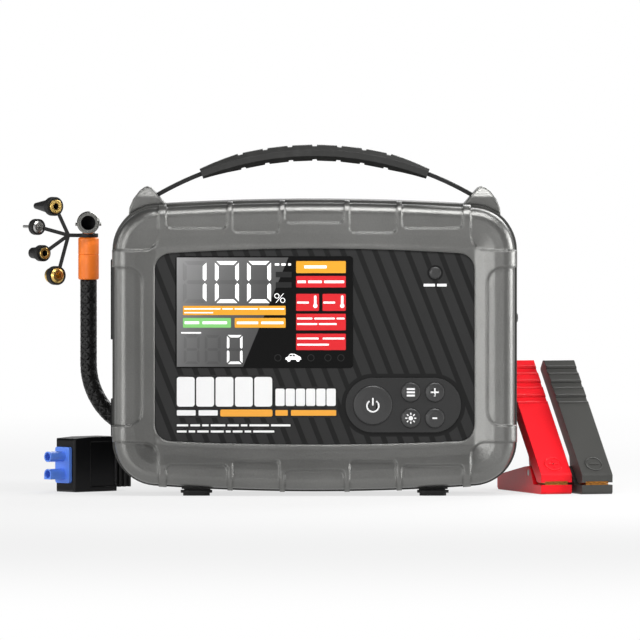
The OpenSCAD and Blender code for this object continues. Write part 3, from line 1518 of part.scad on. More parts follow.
// Least gap between the spring's turns: its path's points, taken half a turn or more apart
spring_points = let (p = spring_path())
    [for (i = [0:len(p) - 2], t = [0:3]) p[i] + (p[i + 1] - p[i]) * t / 4];
spring_clear = min([for (i = [0:len(spring_points) - 1])
    for (j = [i + 2 * coil_steps:1:len(spring_points) - 1]) norm(spring_points[j] - spring_points[i])])
    - 2 * spring_wire_r;
echo(spring_least_gap_mm = spring_clear);

module clamp_spring(place) {
    at_clamp(place) tube(spring_path(), spring_wire_r, 6, [0, 1, 0]);
}

module red_upper_arm() { color("red") upper_arm(red_at); }
module red_lower_arm() { color("red") lower_arm(red_at); }
module red_upper_jaw() { color("darkgoldenrod") upper_jaw(red_at); }
module red_spring() { color("silver") clamp_spring(red_at); }
module black_upper_arm() { color("#333332") upper_arm(black_at); }
module black_lower_arm() { color("#333332") lower_arm(black_at); }
module black_upper_jaw() { color("darkgoldenrod") upper_jaw(black_at); }
module black_spring() { color("silver") clamp_spring(black_at); }
module lower_jaws() {
    color("darkgoldenrod") {
        lower_jaw(red_at);
        lower_jaw(black_at);
    }
}
module clamp_pins() {
    color("silver") {
        clamp_pin(red_at);
        clamp_pin(black_at);
    }
}

front_frame();
middle_shell();
rear_cover();
case_screws();
face_panel();
display_window();
lcd_module();
control_plate();
power_button();
mode_button();
plus_button();
light_button();
minus_button();
force_start_button();
handle_strap();
handle_grip();
horn_left();
horn_right();
strap_pins();
feet();
usb_port_cover();
jump_port_cover();
usb_ports();
jump_socket();
side_button();
lamp_lens();
main_board();
battery_cells();
battery_tray();
compressor_motor();
motor_pinion();
crank_gear();
piston();
pump_cylinder();
cooling_fan();
air_line();
hose_outlet();
air_hose();
sleeve_lower();
sleeve_upper();
chuck_body();
chuck_collar();
adapter_strap();
cone_adapter();
needle_adapter();
tube_adapter();
brass_adapter();
module_case();
module_boot();
ec5_plug();
red_upper_arm();
red_lower_arm();
red_upper_jaw();
red_spring();
black_upper_arm();
black_lower_arm();
black_upper_jaw();
black_spring();
lower_jaws();
clamp_pins();
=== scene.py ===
import math

import bmesh
import bpy
from mathutils import Matrix, Vector


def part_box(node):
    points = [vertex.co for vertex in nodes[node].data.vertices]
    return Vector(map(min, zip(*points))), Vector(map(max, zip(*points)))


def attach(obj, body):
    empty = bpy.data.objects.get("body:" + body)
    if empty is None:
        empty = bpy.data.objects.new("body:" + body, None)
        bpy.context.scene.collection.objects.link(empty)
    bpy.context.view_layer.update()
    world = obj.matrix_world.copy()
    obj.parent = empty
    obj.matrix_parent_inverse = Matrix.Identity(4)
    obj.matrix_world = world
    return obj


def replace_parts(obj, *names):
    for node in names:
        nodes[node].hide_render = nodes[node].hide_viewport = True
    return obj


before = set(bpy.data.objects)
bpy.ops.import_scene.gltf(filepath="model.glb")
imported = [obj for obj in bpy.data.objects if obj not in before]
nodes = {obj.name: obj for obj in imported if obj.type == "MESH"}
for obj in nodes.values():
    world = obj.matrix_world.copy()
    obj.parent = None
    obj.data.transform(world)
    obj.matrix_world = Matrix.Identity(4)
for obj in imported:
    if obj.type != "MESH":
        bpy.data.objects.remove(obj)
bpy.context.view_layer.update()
mm = 0.001


def point(x, y, z):
    return Vector((x * mm, y * mm, z * mm))


def tone(red, green, blue):
    # screen values from 0 to 255, as the shader wants them
    def line(v):
        v /= 255
        return v / 12.92 if v <= 0.04045 else ((v + 0.055) / 1.055) ** 2.4
    return (line(red), line(green), line(blue), 1)


# camera

view = {"height": 0.33, "distance": 8.0, "aimX": 0.0033, "aimY": -0.03, "aimZ": 0.1084, "width": 0.3951,
        "sensor": 36, "clipEnd": 100}


def placeCamera():
    aim = Vector((view["aimX"], view["aimY"], view["aimZ"]))
    stand = Vector((view["aimX"], view["aimY"] - view["distance"], view["height"]))
    data = bpy.data.cameras.new("camera")
    camera = bpy.data.objects.new("camera", data)
    bpy.context.scene.collection.objects.link(camera)
    camera.location = stand
    camera.rotation_euler = (aim - stand).to_track_quat("-Z", "Y").to_euler()
    data.sensor_width = view["sensor"]
    data.lens = data.sensor_width * (aim - stand).length / view["width"]
    data.clip_end = view["clipEnd"]
    bpy.context.scene.camera = camera


placeCamera()
print("camera placed")


# shader helpers

class Wire:
    # an output that takes part in sums, so that a mask reads as a formula
    def __init__(self, paint, socket):
        self.paint, self.socket = paint, socket

    def math(self, operation, *others):
        values = dict(enumerate((self,) + others))
        return self.paint.add("ShaderNodeMath", {"operation": operation}, values)

    def turned(self, operation, other):
        return self.paint.add("ShaderNodeMath", {"operation": operation}, {0: other, 1: self})

    def __add__(self, other):
        return self.math("ADD", other)

    def __sub__(self, other):
        return self.math("SUBTRACT", other)

    def __mul__(self, other):
        return self.math("MULTIPLY", other)

    def __truediv__(self, other):
        return self.math("DIVIDE", other)

    def __rsub__(self, other):
        return self.turned("SUBTRACT", other)

    def __rtruediv__(self, other):
        return self.turned("DIVIDE", other)

    __radd__ = __add__
    __rmul__ = __mul__

    def above(self, edge, soft):
        # 0 below the edge, 1 above it
        return self.paint.add("ShaderNodeMapRange", {"interpolation_type": "SMOOTHSTEP"},
                              {0: self, 1: edge - soft, 2: edge + soft, 3: 0, 4: 1})

    def below(self, edge, soft):
        return 1 - self.above(edge, soft)

    def mix(self, low, high):
        return self.paint.add("ShaderNodeMix", {"data_type": "RGBA"}, {0: self, 6: low, 7: high}, out=2)


class Paint:
    # one finish; every node of it is made by add()
    def __init__(self, name):
        self.material = bpy.data.materials.new(name)
        self.material.use_nodes = True
        self.tree = self.material.node_tree
        self.tree.nodes.clear()
        self.place = self.add("ShaderNodeTexCoord", out="Object")

    def add(self, kind, settings=None, sockets=None, out=0):
        node = self.tree.nodes.new(kind)
        for key, value in (settings or {}).items():
            setattr(node, key, value)
        for key, value in (sockets or {}).items():
            if isinstance(value, Wire):
                self.tree.links.new(value.socket, node.inputs[key])
            else:
                node.inputs[key].default_value = value
        return Wire(self, node.outputs[out]) if node.outputs else None

    def axis(self, letter):
        return self.add("ShaderNodeSeparateXYZ", None, {0: self.place}, out=letter)

    def noise(self, size, detail=2.0, rough=0.5, place=None):
        return self.add("ShaderNodeTexNoise", None, {
            "Vector": place or self.place, "Scale": 1 / size, "Detail": detail, "Roughness": rough})

    def stretched(self, x, y, z):
        return self.add("ShaderNodeVectorMath", {"operation": "MULTIPLY"}, {0: self.place, 1: (x, y, z)})

    def rounded(self, radius):
        # soft edges for the shading
        return self.add("ShaderNodeBevel", {"samples": 4}, {"Radius": radius})

    def bump(self, height, strength, depth, normal=None):
        sockets = {"Height": height, "Strength": strength, "Distance": depth}
        if normal:
            sockets["Normal"] = normal
        return self.add("ShaderNodeBump", None, sockets)

    def finish(self, **sockets):
        names = {"baseColor": "Base Color", "roughness": "Roughness", "metallic": "Metallic",
                 "normal": "Normal", "specular": "Specular IOR Level", "glow": "Emission Color",
                 "glowStrength": "Emission Strength"}
        shader = self.add("ShaderNodeBsdfPrincipled", None, {names[k]: v for k, v in sockets.items()})
        self.add("ShaderNodeOutputMaterial", None, {"Surface": shader})
        return self.material


# mesh helpers

def showPiece(name, mesh, finish, body):
    piece = bpy.data.objects.new(name, mesh)
    bpy.context.scene.collection.objects.link(piece)
    mesh.materials.append(finish)
    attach(piece, body)
    return piece


def meshFrom(name, verts, faces, smooth=True):
    mesh = bpy.data.meshes.new(name)
    mesh.from_pydata(verts, [], faces)
    for face in mesh.polygons:
        face.use_smooth = smooth
    return mesh


def flatPiece(name, outlines, front, thick, finish, body="pack"):
    # thin plates that face the front: outlines are (x, z) in mm, front and thick are depths in mm
    bm = bmesh.new()
    for outline in outlines:
        near = [bm.verts.new(point(x, -front, z)) for x, z in outline]
        far = [bm.verts.new(point(x, thick - front, z)) for x, z in outline]
        bm.faces.new(near)
        bm.faces.new(far[::-1])
        for i, vert in enumerate(near):
            j = (i + 1) % len(near)
            bm.faces.new((vert, far[i], far[j], near[j]))
    bmesh.ops.triangulate(bm, faces=[f for f in bm.faces if len(f.verts) > 4])
    bmesh.ops.recalc_face_normals(bm, faces=bm.faces)
    mesh = bpy.data.meshes.new(name)
    bm.to_mesh(mesh)
    bm.free()
    return showPiece(name, mesh, finish, body)


def arcPoints(x, z, radius, start, end, steps):
    turn = [math.radians(start + (end - start) * i / steps) for i in range(steps + 1)]
    return [(x + radius * math.cos(a), z + radius * math.sin(a)) for a in turn]


def block(x0, z0, x1, z1, radius=0.4, steps=4):
    return (arcPoints(x1 - radius, z1 - radius, radius, 0, 90, steps)
            + arcPoints(x0 + radius, z1 - radius, radius, 90, 180, steps)
            + arcPoints(x0 + radius, z0 + radius, radius, 180, 270, steps)
            + arcPoints(x1 - radius, z0 + radius, radius, 270, 360, steps))


def ringPart(x, z, radius, stroke, start, end, steps):
    return (arcPoints(x, z, radius, start, end, steps)
            + arcPoints(x, z, radius - stroke, end, start, steps))


def ringHalves(x, z, radius, stroke, steps):
    return [ringPart(x, z, radius, stroke, a, a + 180, steps) for a in (0, 180)]


def disc(x, z, radius, steps=15):
    return arcPoints(x, z, radius, 0, 345, steps)


def tubeMesh(name, path, radius, sides):
    # closed tube along points
    ref = Vector((0, 1, 0))
    verts, faces = [], []
    last = len(path) - 1
    for i, centre in enumerate(path):
        along = (path[min(i + 1, last)] - path[max(i - 1, 0)]).normalized()
        u = ref.cross(along).normalized()
        v = along.cross(u)
        for k in range(sides):
            a = 2 * math.pi * k / sides
            verts.append(centre + radius * (math.cos(a) * u + math.sin(a) * v))
    for i in range(last):
        for k in range(sides):
            a, b = i * sides + k, i * sides + (k + 1) % sides
            faces.append((a, b, b + sides, a + sides))
    faces.append(tuple(range(sides))[::-1])
    faces.append(tuple(last * sides + k for k in range(sides)))
    return meshFrom(name, verts, faces)


def resample(points, step):
    # evenly spaced points on a smooth curve through the given ones
    fine = []
    for i in range(len(points) - 1):
        p0, p1 = points[max(i - 1, 0)], points[i]
        p2, p3 = points[i + 1], points[min(i + 2, len(points) - 1)]
        n = max(2, int((p2 - p1).length / (step / 4)))
        for k in range(n):
            t = k / n
            fine.append(0.5 * (2 * p1 + (p2 - p0) * t + (2 * p0 - 5 * p1 + 4 * p2 - p3) * t * t
                               + (3 * p1 - p0 - 3 * p2 + p3) * t ** 3))
    fine.append(points[-1].copy())
    total = sum((b - a).length for a, b in zip(fine, fine[1:]))
    count = max(2, round(total / step))
    out, walked, goal = [fine[0]], 0.0, total / count
    for a, b in zip(fine, fine[1:]):
        length = (b - a).length
        while walked + length >= goal - 1e-9 and len(out) < count:
            out.append(a.lerp(b, (goal - walked) / length))
            goal += total / count
        walked += length
    return out + [fine[-1]]


# finishes

def mouldedPlastic(name, colour, rough=0.42, grain=0.0009, depth=0.00006, edge=0.0004, metal=0.0, specular=0.5):
    p = Paint(name)
    cloud = p.noise(0.05, 3)
    speck = p.noise(grain, 3, 0.65)
    darker = tuple(c * 0.88 for c in colour[:3]) + (1,)
    lighter = tuple(min(1, c * 1.1) for c in colour[:3]) + (1,)
    return p.finish(
        baseColor=(cloud * 0.6 + speck * 0.4).above(0.5, 0.22).mix(darker, lighter),
        roughness=speck * 0.12 + (rough - 0.06), metallic=metal, specular=specular,
        normal=p.bump(speck, 0.6, depth, p.rounded(edge)))


def rubber(name, colour, rough=0.62):
    p = Paint(name)
    speck = p.noise(0.0006, 3, 0.7)
    worn = p.noise(0.012, 4, 0.6)
    paler = tuple(c * 1.5 + 0.004 for c in colour[:3]) + (1,)
    return p.finish(
        baseColor=(worn.above(0.6, 0.12) * 0.6).mix(colour, paler), roughness=worn * 0.14 + (rough - 0.07),
        specular=0.35, normal=p.bump(speck, 0.5, 0.00005, p.rounded(0.0003)))


def metal(name, colour, rough, streak=(1, 1, 1), size=0.0012, depth=0.00002, edge=0.0002):
    p = Paint(name)
    scratch = p.noise(size, 4, 0.6, p.stretched(*streak))
    stain = p.noise(0.008, 3)
    darker = tuple(c * 0.8 for c in colour[:3]) + (1,)
    return p.finish(
        baseColor=stain.above(0.45, 0.25).mix(darker, colour), metallic=1.0,
        roughness=scratch * 0.16 + stain * 0.06 + (rough - 0.1),
        normal=p.bump(scratch, 0.5, depth, p.rounded(edge) if edge else None))


def glossPlastic(name, colour, rough):
    p = Paint(name)
    flow = p.noise(0.006, 2)
    dust = p.noise(0.0007, 2, 0.6)
    darker = tuple(c * 0.86 for c in colour[:3]) + (1,)
    return p.finish(
        baseColor=flow.mix(darker, colour), roughness=dust * 0.1 + flow * 0.06 + (rough - 0.08),
        specular=0.5, normal=p.bump(flow, 0.25, 0.00008, p.rounded(0.0003)))


def printInk(name, colour, glow=0.0):
    p = Paint(name)
    fleck = p.noise(0.0005, 2)
    darker = tuple(c * 0.93 for c in colour[:3]) + (1,)
    ink = fleck.mix(darker, colour)
    return p.finish(baseColor=ink, roughness=fleck * 0.1 + 0.4, glow=ink, glowStrength=glow,
                    specular=0.3)


def stripedFinish(name):
    # panel print: slanting dark stripes, a dark band round the control plate and round the start button
    stripe = {"pitch": 9.97, "lean": 0.392, "phase": -23.19, "share": 0.34, "soft": 0.03}
    pill = {"x": 54.7, "z": 56.1, "half": 18.8, "radius": 16.8, "band": 2.6, "soft": 0.15}
    start = {"x": 74.3, "z": 137.7, "band": 4.9, "soft": 0.15}
    ink = tone(22, 22, 22)
    p = Paint(name)
    x, z = p.axis("X") * 1000, p.axis("Z") * 1000
    run = (x + z * stripe["lean"] - stripe["phase"]) / stripe["pitch"] + 0.5
    wave = (run.math("FRACT") - 0.5).math("ABSOLUTE") * 2
    dark = wave.below(stripe["share"], stripe["soft"])
    side = ((x - pill["x"]).math("ABSOLUTE") - pill["half"]).math("MAXIMUM", 0.0)
    rise = z - pill["z"]
    reach = (side * side + rise * rise).math("SQRT")
    band = reach.below(pill["radius"] + pill["band"], pill["soft"])
    across, up = x - start["x"], z - start["z"]
    ring = (across * across + up * up).math("SQRT").below(start["band"], start["soft"])
    speck = p.noise(0.0007, 3, 0.6)
    cloud = p.noise(0.06, 2)
    plain = cloud.mix(tone(40, 40, 40), tone(46, 46, 46))
    striped = dark.mix(plain, ink)
    return p.finish(
        baseColor=(band + ring).math("MINIMUM", 1.0).mix(striped, ink), roughness=speck * 0.12 + 0.42,
        specular=0.18, normal=p.bump(speck, 0.35, 0.00003, p.rounded(0.0002)))


def windowFinish(name, share=1.0, dark=14):
    # dark display glass with a black border; a slanting band of painted glare lies on it, brightest at the
    # upper left and fading from there
    glare = {"foot": -44.2, "low": 79.7, "lean": 0.415, "left": -85.7, "top": 147.9, "paintedSheen": 0.3, "least": 0.035,
            "wide": 40, "tall": 75, "soft": 0.25}
    edge = {"x": -31.05, "z": 113.5, "halfWide": 54.65, "halfTall": 34.4, "border": 0.7, "soft": 0.1}
    p = Paint(name)
    x, z = p.axis("X") * 1000, p.axis("Z") * 1000
    # painted glare: it covers the glass to the left of a slanting edge
    underGlare = (x - (z - glare["low"]) * glare["lean"]).below(glare["foot"], glare["soft"])
    border = ((x - edge["x"]).math("ABSOLUTE") - edge["halfWide"]).math(
        "MAXIMUM", (z - edge["z"]).math("ABSOLUTE") - edge["halfTall"]).above(-edge["border"], edge["soft"])
    # the painted glare's strength falls away from the upper left corner
    along = ((x - glare["left"]) / -glare["wide"] + (z - glare["top"]) / glare["tall"]).math("EXPONENT")
    paintedSheen = (along * glare["paintedSheen"] + glare["least"]) * share
    haze = p.noise(0.02, 3)
    glass = underGlare.mix(tone(dark, dark, dark), paintedSheen.mix((0, 0, 0, 1), (1, 1, 1, 1)))
    return p.finish(
        baseColor=border.mix(glass, tone(16, 16, 16)), roughness=haze * 0.08 + 0.14, specular=0.12,
        normal=p.rounded(0.0002))


def chuckFinish(name):
    # dull chrome, black and matt down its mouth
    mouth = {"x": -141, "z": 167, "radius": 4.6, "soft": 0.05}
    p = Paint(name)
    x, z = p.axis("X") * 1000 - mouth["x"], p.axis("Z") * 1000 - mouth["z"]
    # the mouth is painted black and matt out to 4.6 mm from its centre
    blackMouth = (x * x + z * z).math("SQRT").below(mouth["radius"], mouth["soft"])
    stain = p.noise(0.008, 3)
    plate = stain.mix(tone(120, 120, 116), tone(150, 150, 146))
    return p.finish(
        baseColor=blackMouth.mix(plate, tone(14, 14, 14)), metallic=1 - blackMouth,
        roughness=blackMouth * 0.4 + stain * 0.06 + 0.2, normal=p.rounded(0.00012))


framePlastic = mouldedPlastic("gunmetalFrame", tone(116, 116, 114), rough=0.35, grain=0.001, depth=0.00018,
                              edge=0.0022, metal=0.85)
shellPlastic = mouldedPlastic("darkShell", tone(60, 60, 58), rough=0.5)
blackPlastic = mouldedPlastic("blackPlastic", tone(24, 24, 24), rough=0.5, specular=0.3)
platePlastic = mouldedPlastic("platePlastic", tone(46, 46, 46), rough=0.42, grain=0.0005, depth=0.00002,
                              edge=0.0003, specular=0.25)
buttonPlastic = mouldedPlastic("buttonPlastic", tone(54, 54, 54), rough=0.36, grain=0.0005, depth=0.00002,
                               edge=0.0005, specular=0.4)
boxPlastic = mouldedPlastic("plugBoxPlastic", tone(11, 11, 13), rough=0.42, specular=0.25, edge=0.001)
clampRed = mouldedPlastic("clampRed", tone(236, 24, 36), rough=0.34, grain=0.0006, depth=0.00003, edge=0.0006,
                          specular=0.25)
clampBlack = mouldedPlastic("clampGrey", tone(60, 60, 58), rough=0.36, grain=0.0006, depth=0.00003, edge=0.0006,
                            specular=0.3)
panelFinish = stripedFinish("stripedPanel")
glassFinish = windowFinish("displayGlass")
# unlit segments: the same dark glass, with its painted glare at 0.88 strength
ghostFinish = windowFinish("ghostSegments", 0.88, 22)
blackRubber = rubber("blackRubber", tone(22, 22, 22))
gripRubber = rubber("gripRubber", tone(42, 42, 41), 0.45)
orangeRubber = rubber("orangeSleeve", tone(240, 122, 38), 0.42)
bluePlastic = glossPlastic("bluePlug", tone(104, 152, 255), 0.25)
lensPlastic = glossPlastic("frostedLens", tone(196, 200, 204), 0.3)
steel = metal("brightSteel", tone(190, 190, 188), 0.3)
chrome = metal("chromePlate", tone(190, 190, 188), 0.3, size=0.004, depth=0.000001, edge=0)
chuckChrome = chuckFinish("chuckChrome")
brass = metal("brass", tone(228, 192, 112), 0.34, size=0.004, depth=0.000001, edge=0)
copper = metal("copperJaw", tone(190, 128, 62), 0.32)
castAluminium = metal("castAluminium", tone(172, 175, 178), 0.45, size=0.0006, depth=0.00008)
gearSteel = metal("gearSteel", tone(150, 150, 150), 0.35, streak=(1, 6, 6))
pouchFoil = metal("cellPouch", tone(150, 160, 172), 0.38, size=0.004, depth=0.0001)
boardGreen = glossPlastic("boardGreen", tone(24, 92, 52), 0.35)
milkyTube = glossPlastic("milkyTube", tone(206, 210, 210), 0.3)
print("finishes mixed")


def dress(finish, *names):
    for name in names:
        for slot in nodes[name].material_slots:
            slot.material = finish


dress(framePlastic, "front_frame", "horn_left", "horn_right")
dress(shellPlastic, "middle_shell", "rear_cover")
dress(panelFinish, "face_panel")
dress(glassFinish, "display_window")
dress(platePlastic, "control_plate")
dress(buttonPlastic, "power_button", "mode_button", "plus_button", "light_button",
      "minus_button", "force_start_button", "side_button")
dress(blackRubber, "handle_strap", "feet", "usb_port_cover", "jump_port_cover", "adapter_strap", "module_boot")
dress(gripRubber, "handle_grip")
dress(blackPlastic, "usb_ports", "battery_tray", "cooling_fan", "hose_outlet", "cone_adapter", "tube_adapter")
dress(bluePlastic, "jump_socket", "ec5_plug")
dress(lensPlastic, "lamp_lens")
dress(boardGreen, "lcd_module", "main_board")
dress(pouchFoil, "battery_cells")
dress(steel, "case_screws", "strap_pins", "compressor_motor", "clamp_pins")
dress(gearSteel, "crank_gear")
dress(brass, "motor_pinion", "brass_adapter")
dress(castAluminium, "piston", "pump_cylinder")
dress(milkyTube, "air_line")
dress(orangeRubber, "sleeve_lower", "sleeve_upper")
dress(chuckChrome, "chuck_body", "chuck_collar")
dress(chrome, "needle_adapter")
dress(boxPlastic, "module_case")
dress(clampRed, "red_upper_arm", "red_lower_arm")
dress(clampBlack, "black_upper_arm", "black_lower_arm")
dress(copper, "red_upper_jaw", "black_upper_jaw", "lower_jaws")
print("nodes dressed")


# air hose: a rubber core under a braid of flat strands that pass over and under each other

hose = {
    "diameter": 10.6, "strands": 8, "lead": 28.0, "strandWidth": 2.5, "strandThick": 0.55, "wave": 0.22,
    "coreRadius": 4.5, "coreSides": 20, "coreStep": 0.004, "strandStep": 0.0009, "clearance": 0.01,
    "section": [(-1, 0), (-0.75, 0.75), (-0.25, 1), (0.25, 1), (0.75, 0.75), (1, 0), (0.5, -0.6), (-0.5, -0.6)],
    "route": [
        (29, 50, 35.7), (15, 50, 35.7), (0, 50, 35.7), (-20, 50, 35.7), (-40, 50, 35.7), (-60, 50, 35.7),
        (-80, 50, 35.7), (-91, 50, 35.7), (-98, 50, 35.7), (-103.6, 50, 36.1), (-109.1, 50, 37.2),
        (-114.5, 50, 39), (-119.5, 50, 41.5), (-124.1, 50, 44.6), (-128.4, 50, 48.3), (-132.1, 50, 52.5),
        (-135.2, 50, 57.2), (-137.7, 50, 62.3), (-139.5, 50, 67.6), (-140.6, 50, 73.1), (-141, 50, 78.7),
        (-141, 50, 90), (-141, 50, 105), (-141, 50, 120), (-141, 50, 131.5)],
}


def hoseFinish():
    p = Paint("braidedYarn")
    thread = p.noise(0.0005, 3, 0.7, p.stretched(1, 1, 0.35))
    worn = p.noise(0.004, 3)
    return p.finish(
        baseColor=(thread * 0.6 + worn * 0.4).above(0.52, 0.16).mix(tone(3, 3, 3), tone(28, 28, 27)),
        roughness=thread * 0.2 + 0.34, specular=0.28, normal=p.bump(thread, 0.8, 0.00012))


def makeHose():
    route = [point(*p) for p in hose["route"]]
    core = tubeMesh("hoseCore", resample(route, hose["coreStep"]), hose["coreRadius"] * mm, hose["coreSides"])
    verts = [v.co.copy() for v in core.vertices]
    faces = [tuple(f.vertices) for f in core.polygons]
    bpy.data.meshes.remove(core)
    path = resample(route, hose["strandStep"])
    ref = Vector((0, 1, 0))
    mid = hose["diameter"] / 2 - hose["strandThick"] / 2 - hose["wave"] - hose["clearance"]
    frames, walked = [], 0.0
    for i, centre in enumerate(path):
        along = (path[min(i + 1, len(path) - 1)] - path[max(i - 1, 0)]).normalized()
        u = ref.cross(along).normalized()
        if i:
            walked += (centre - path[i - 1]).length / mm
        frames.append((centre, along, u, along.cross(u), walked))
    girth = 2 * math.pi * mid
    slope = math.atan2(girth, hose["lead"])  # angle between a strand and the hose's own line
    halfWide, halfThick = hose["strandWidth"] / 2, hose["strandThick"] / 2
    section = hose["section"]
    for way in (1, -1):
        for strand in range(hose["strands"]):
            start = len(verts)
            for centre, along, u, v, s in frames:
                turn = way * 2 * math.pi * s / hose["lead"] + 2 * math.pi * strand / hose["strands"]
                # strands cross half a pitch apart, so that each goes over one and under the next
                weave = way * math.sin(hose["strands"] * 2 * math.pi * s / hose["lead"] + math.pi * strand)
                out = math.cos(turn) * u + math.sin(turn) * v
                round_ = (-math.sin(turn) * u + math.cos(turn) * v) * way
                across = round_ * math.cos(slope) - along * math.sin(slope)
                radius = (mid + hose["wave"] * weave) * mm
                for wide, thick in section:
                    bend = 1 - (wide * halfWide) ** 2 / (2 * mid * mid) * math.cos(slope) ** 2
                    verts.append(centre + out * (radius * bend + thick * halfThick * mm)
                                 + across * wide * halfWide * mm)
            n = len(section)
            for i in range(len(frames) - 1):
                for k in range(n):
                    a, b = start + i * n + k, start + i * n + (k + 1) % n
                    faces.append((a, b, b + n, a + n) if way > 0 else (b, a, a + n, b + n))
            first = tuple(start + k for k in range(n))
            last = tuple(start + (len(frames) - 1) * n + k for k in range(n))
            faces.append(first[::-1] if way > 0 else first)
            faces.append(last if way > 0 else last[::-1])
    piece = showPiece("braidedHose", meshFrom("braidedHose", verts, faces), hoseFinish(), "pack")
    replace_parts(piece, "air_hose")
    resample(route, hose["coreStep"])


makeHose()
print("hose braided")


# clamp springs: round wire wound round the pin, with a leg in each arm

# offsets in mm: the lower leg's are back and down from the coil, the upper leg's back and up from its end
spring = {
    "turns": 3.5, "stepsPerTurn": 22, "wire": 0.8, "sides": 10, "radius": 4, "gap": 0.5,
    "pinBack": 26, "pinHeight": 12.5, "yaw": 108, "legStep": 0.001,
    "lowerLeg": [(24, 3.6), (18, 2.4), (12, 1.2), (6, 0.4)],
    "upperLeg": [(4, 0.9), (9, 3), (14, 7.2), (19, 12)],
}
noses = {"red": (149.9, -11), "black": (175.1, -11)}


def makeSpring(name, node, nose):
    steps = spring["stepsPerTurn"]
    pitch = 2 * spring["wire"] + spring["gap"]
    count = math.ceil(spring["turns"] * steps)
    wide = spring["turns"] * pitch
    back, high, r = spring["pinBack"], spring["pinHeight"], spring["radius"]
    legs = len(spring["lowerLeg"])
    local = [(back + away, -wide / 2, high - r - drop) for away, drop in spring["lowerLeg"]]
    for i in range(count + 1):
        a = math.radians(-90 + 360 * i / steps)
        local.append((back + r * math.cos(a), -wide / 2 + wide * i / count, high + r * math.sin(a)))
    x, _, z = local[-1]
    local += [(x + away, wide / 2, z + rise) for away, rise in spring["upperLeg"]]
    turn = Matrix.Rotation(math.radians(spring["yaw"]), 3, "Z")
    path = [turn @ point(*p) + point(nose[0], nose[1], 0) for p in local]
    head = [path[0]] + resample(path[:legs + 1], spring["legStep"])[1:-1]
    tail = resample(path[-legs - 1:], spring["legStep"])[1:]
    mesh = tubeMesh(name, head + path[legs:-legs] + tail, spring["wire"] * mm, spring["sides"])
    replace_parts(showPiece(name, mesh, steel, "pack"), node)


makeSpring("redTorsionSpring", "red_spring", noses["red"])
makeSpring("blackTorsionSpring", "black_spring", noses["black"])
print("springs wound")


# brass rings in the mouths of two adapters

# profiles are (radius, depth) in mm, turned about the adapter's own axis, which runs back and to the left
inserts = {
    "yaw": 32, "back": 50, "steps": 64,
    "places": {"coneInsert": (-161.8, 177), "tubeInsert": (-169, 147.8)},
    "profiles": {
        "coneInsert": [(2.0, -1.1), (2.2, -1.3), (3.9, -1.3), (4.2, -1.0), (4.2, 0.1), (2.0, 0.1)],
        "tubeInsert": [(1.9, -1.7), (2.1, -1.9), (3.3, -1.9), (3.5, -1.7), (3.5, -0.9), (1.9, -0.9)]},
}


def lathe(name):
    yaw, steps = math.radians(inserts["yaw"]), inserts["steps"]
    profile, place = inserts["profiles"][name], inserts["places"][name]
    n, verts, faces = len(profile), [], []
    for i in range(steps):
        a = 2 * math.pi * i / steps
        for r, deep in profile:
            x, y = r * math.cos(a), r * math.sin(a)
            verts.append(point(place[0] + x * math.cos(yaw) - deep * math.sin(yaw),
                               inserts["back"] + x * math.sin(yaw) + deep * math.cos(yaw), place[1] - y))
    for i in range(steps):
        for k in range(n):
            a, b = i * n + k, i * n + (k + 1) % n
            c, d = (i + 1) % steps * n + (k + 1) % n, (i + 1) % steps * n + k
            faces.append((a, b, c, d))
    mesh = meshFrom(name, verts, faces, smooth=False)
    bm = bmesh.new()
    bm.from_mesh(mesh)
    bmesh.ops.recalc_face_normals(bm, faces=bm.faces)
    bm.to_mesh(mesh)
    bm.free()
    showPiece(name, mesh, brass, "pack")


lathe("coneInsert")
lathe("tubeInsert")
print("inserts turned")


# display: digits, bars and signs on the glass

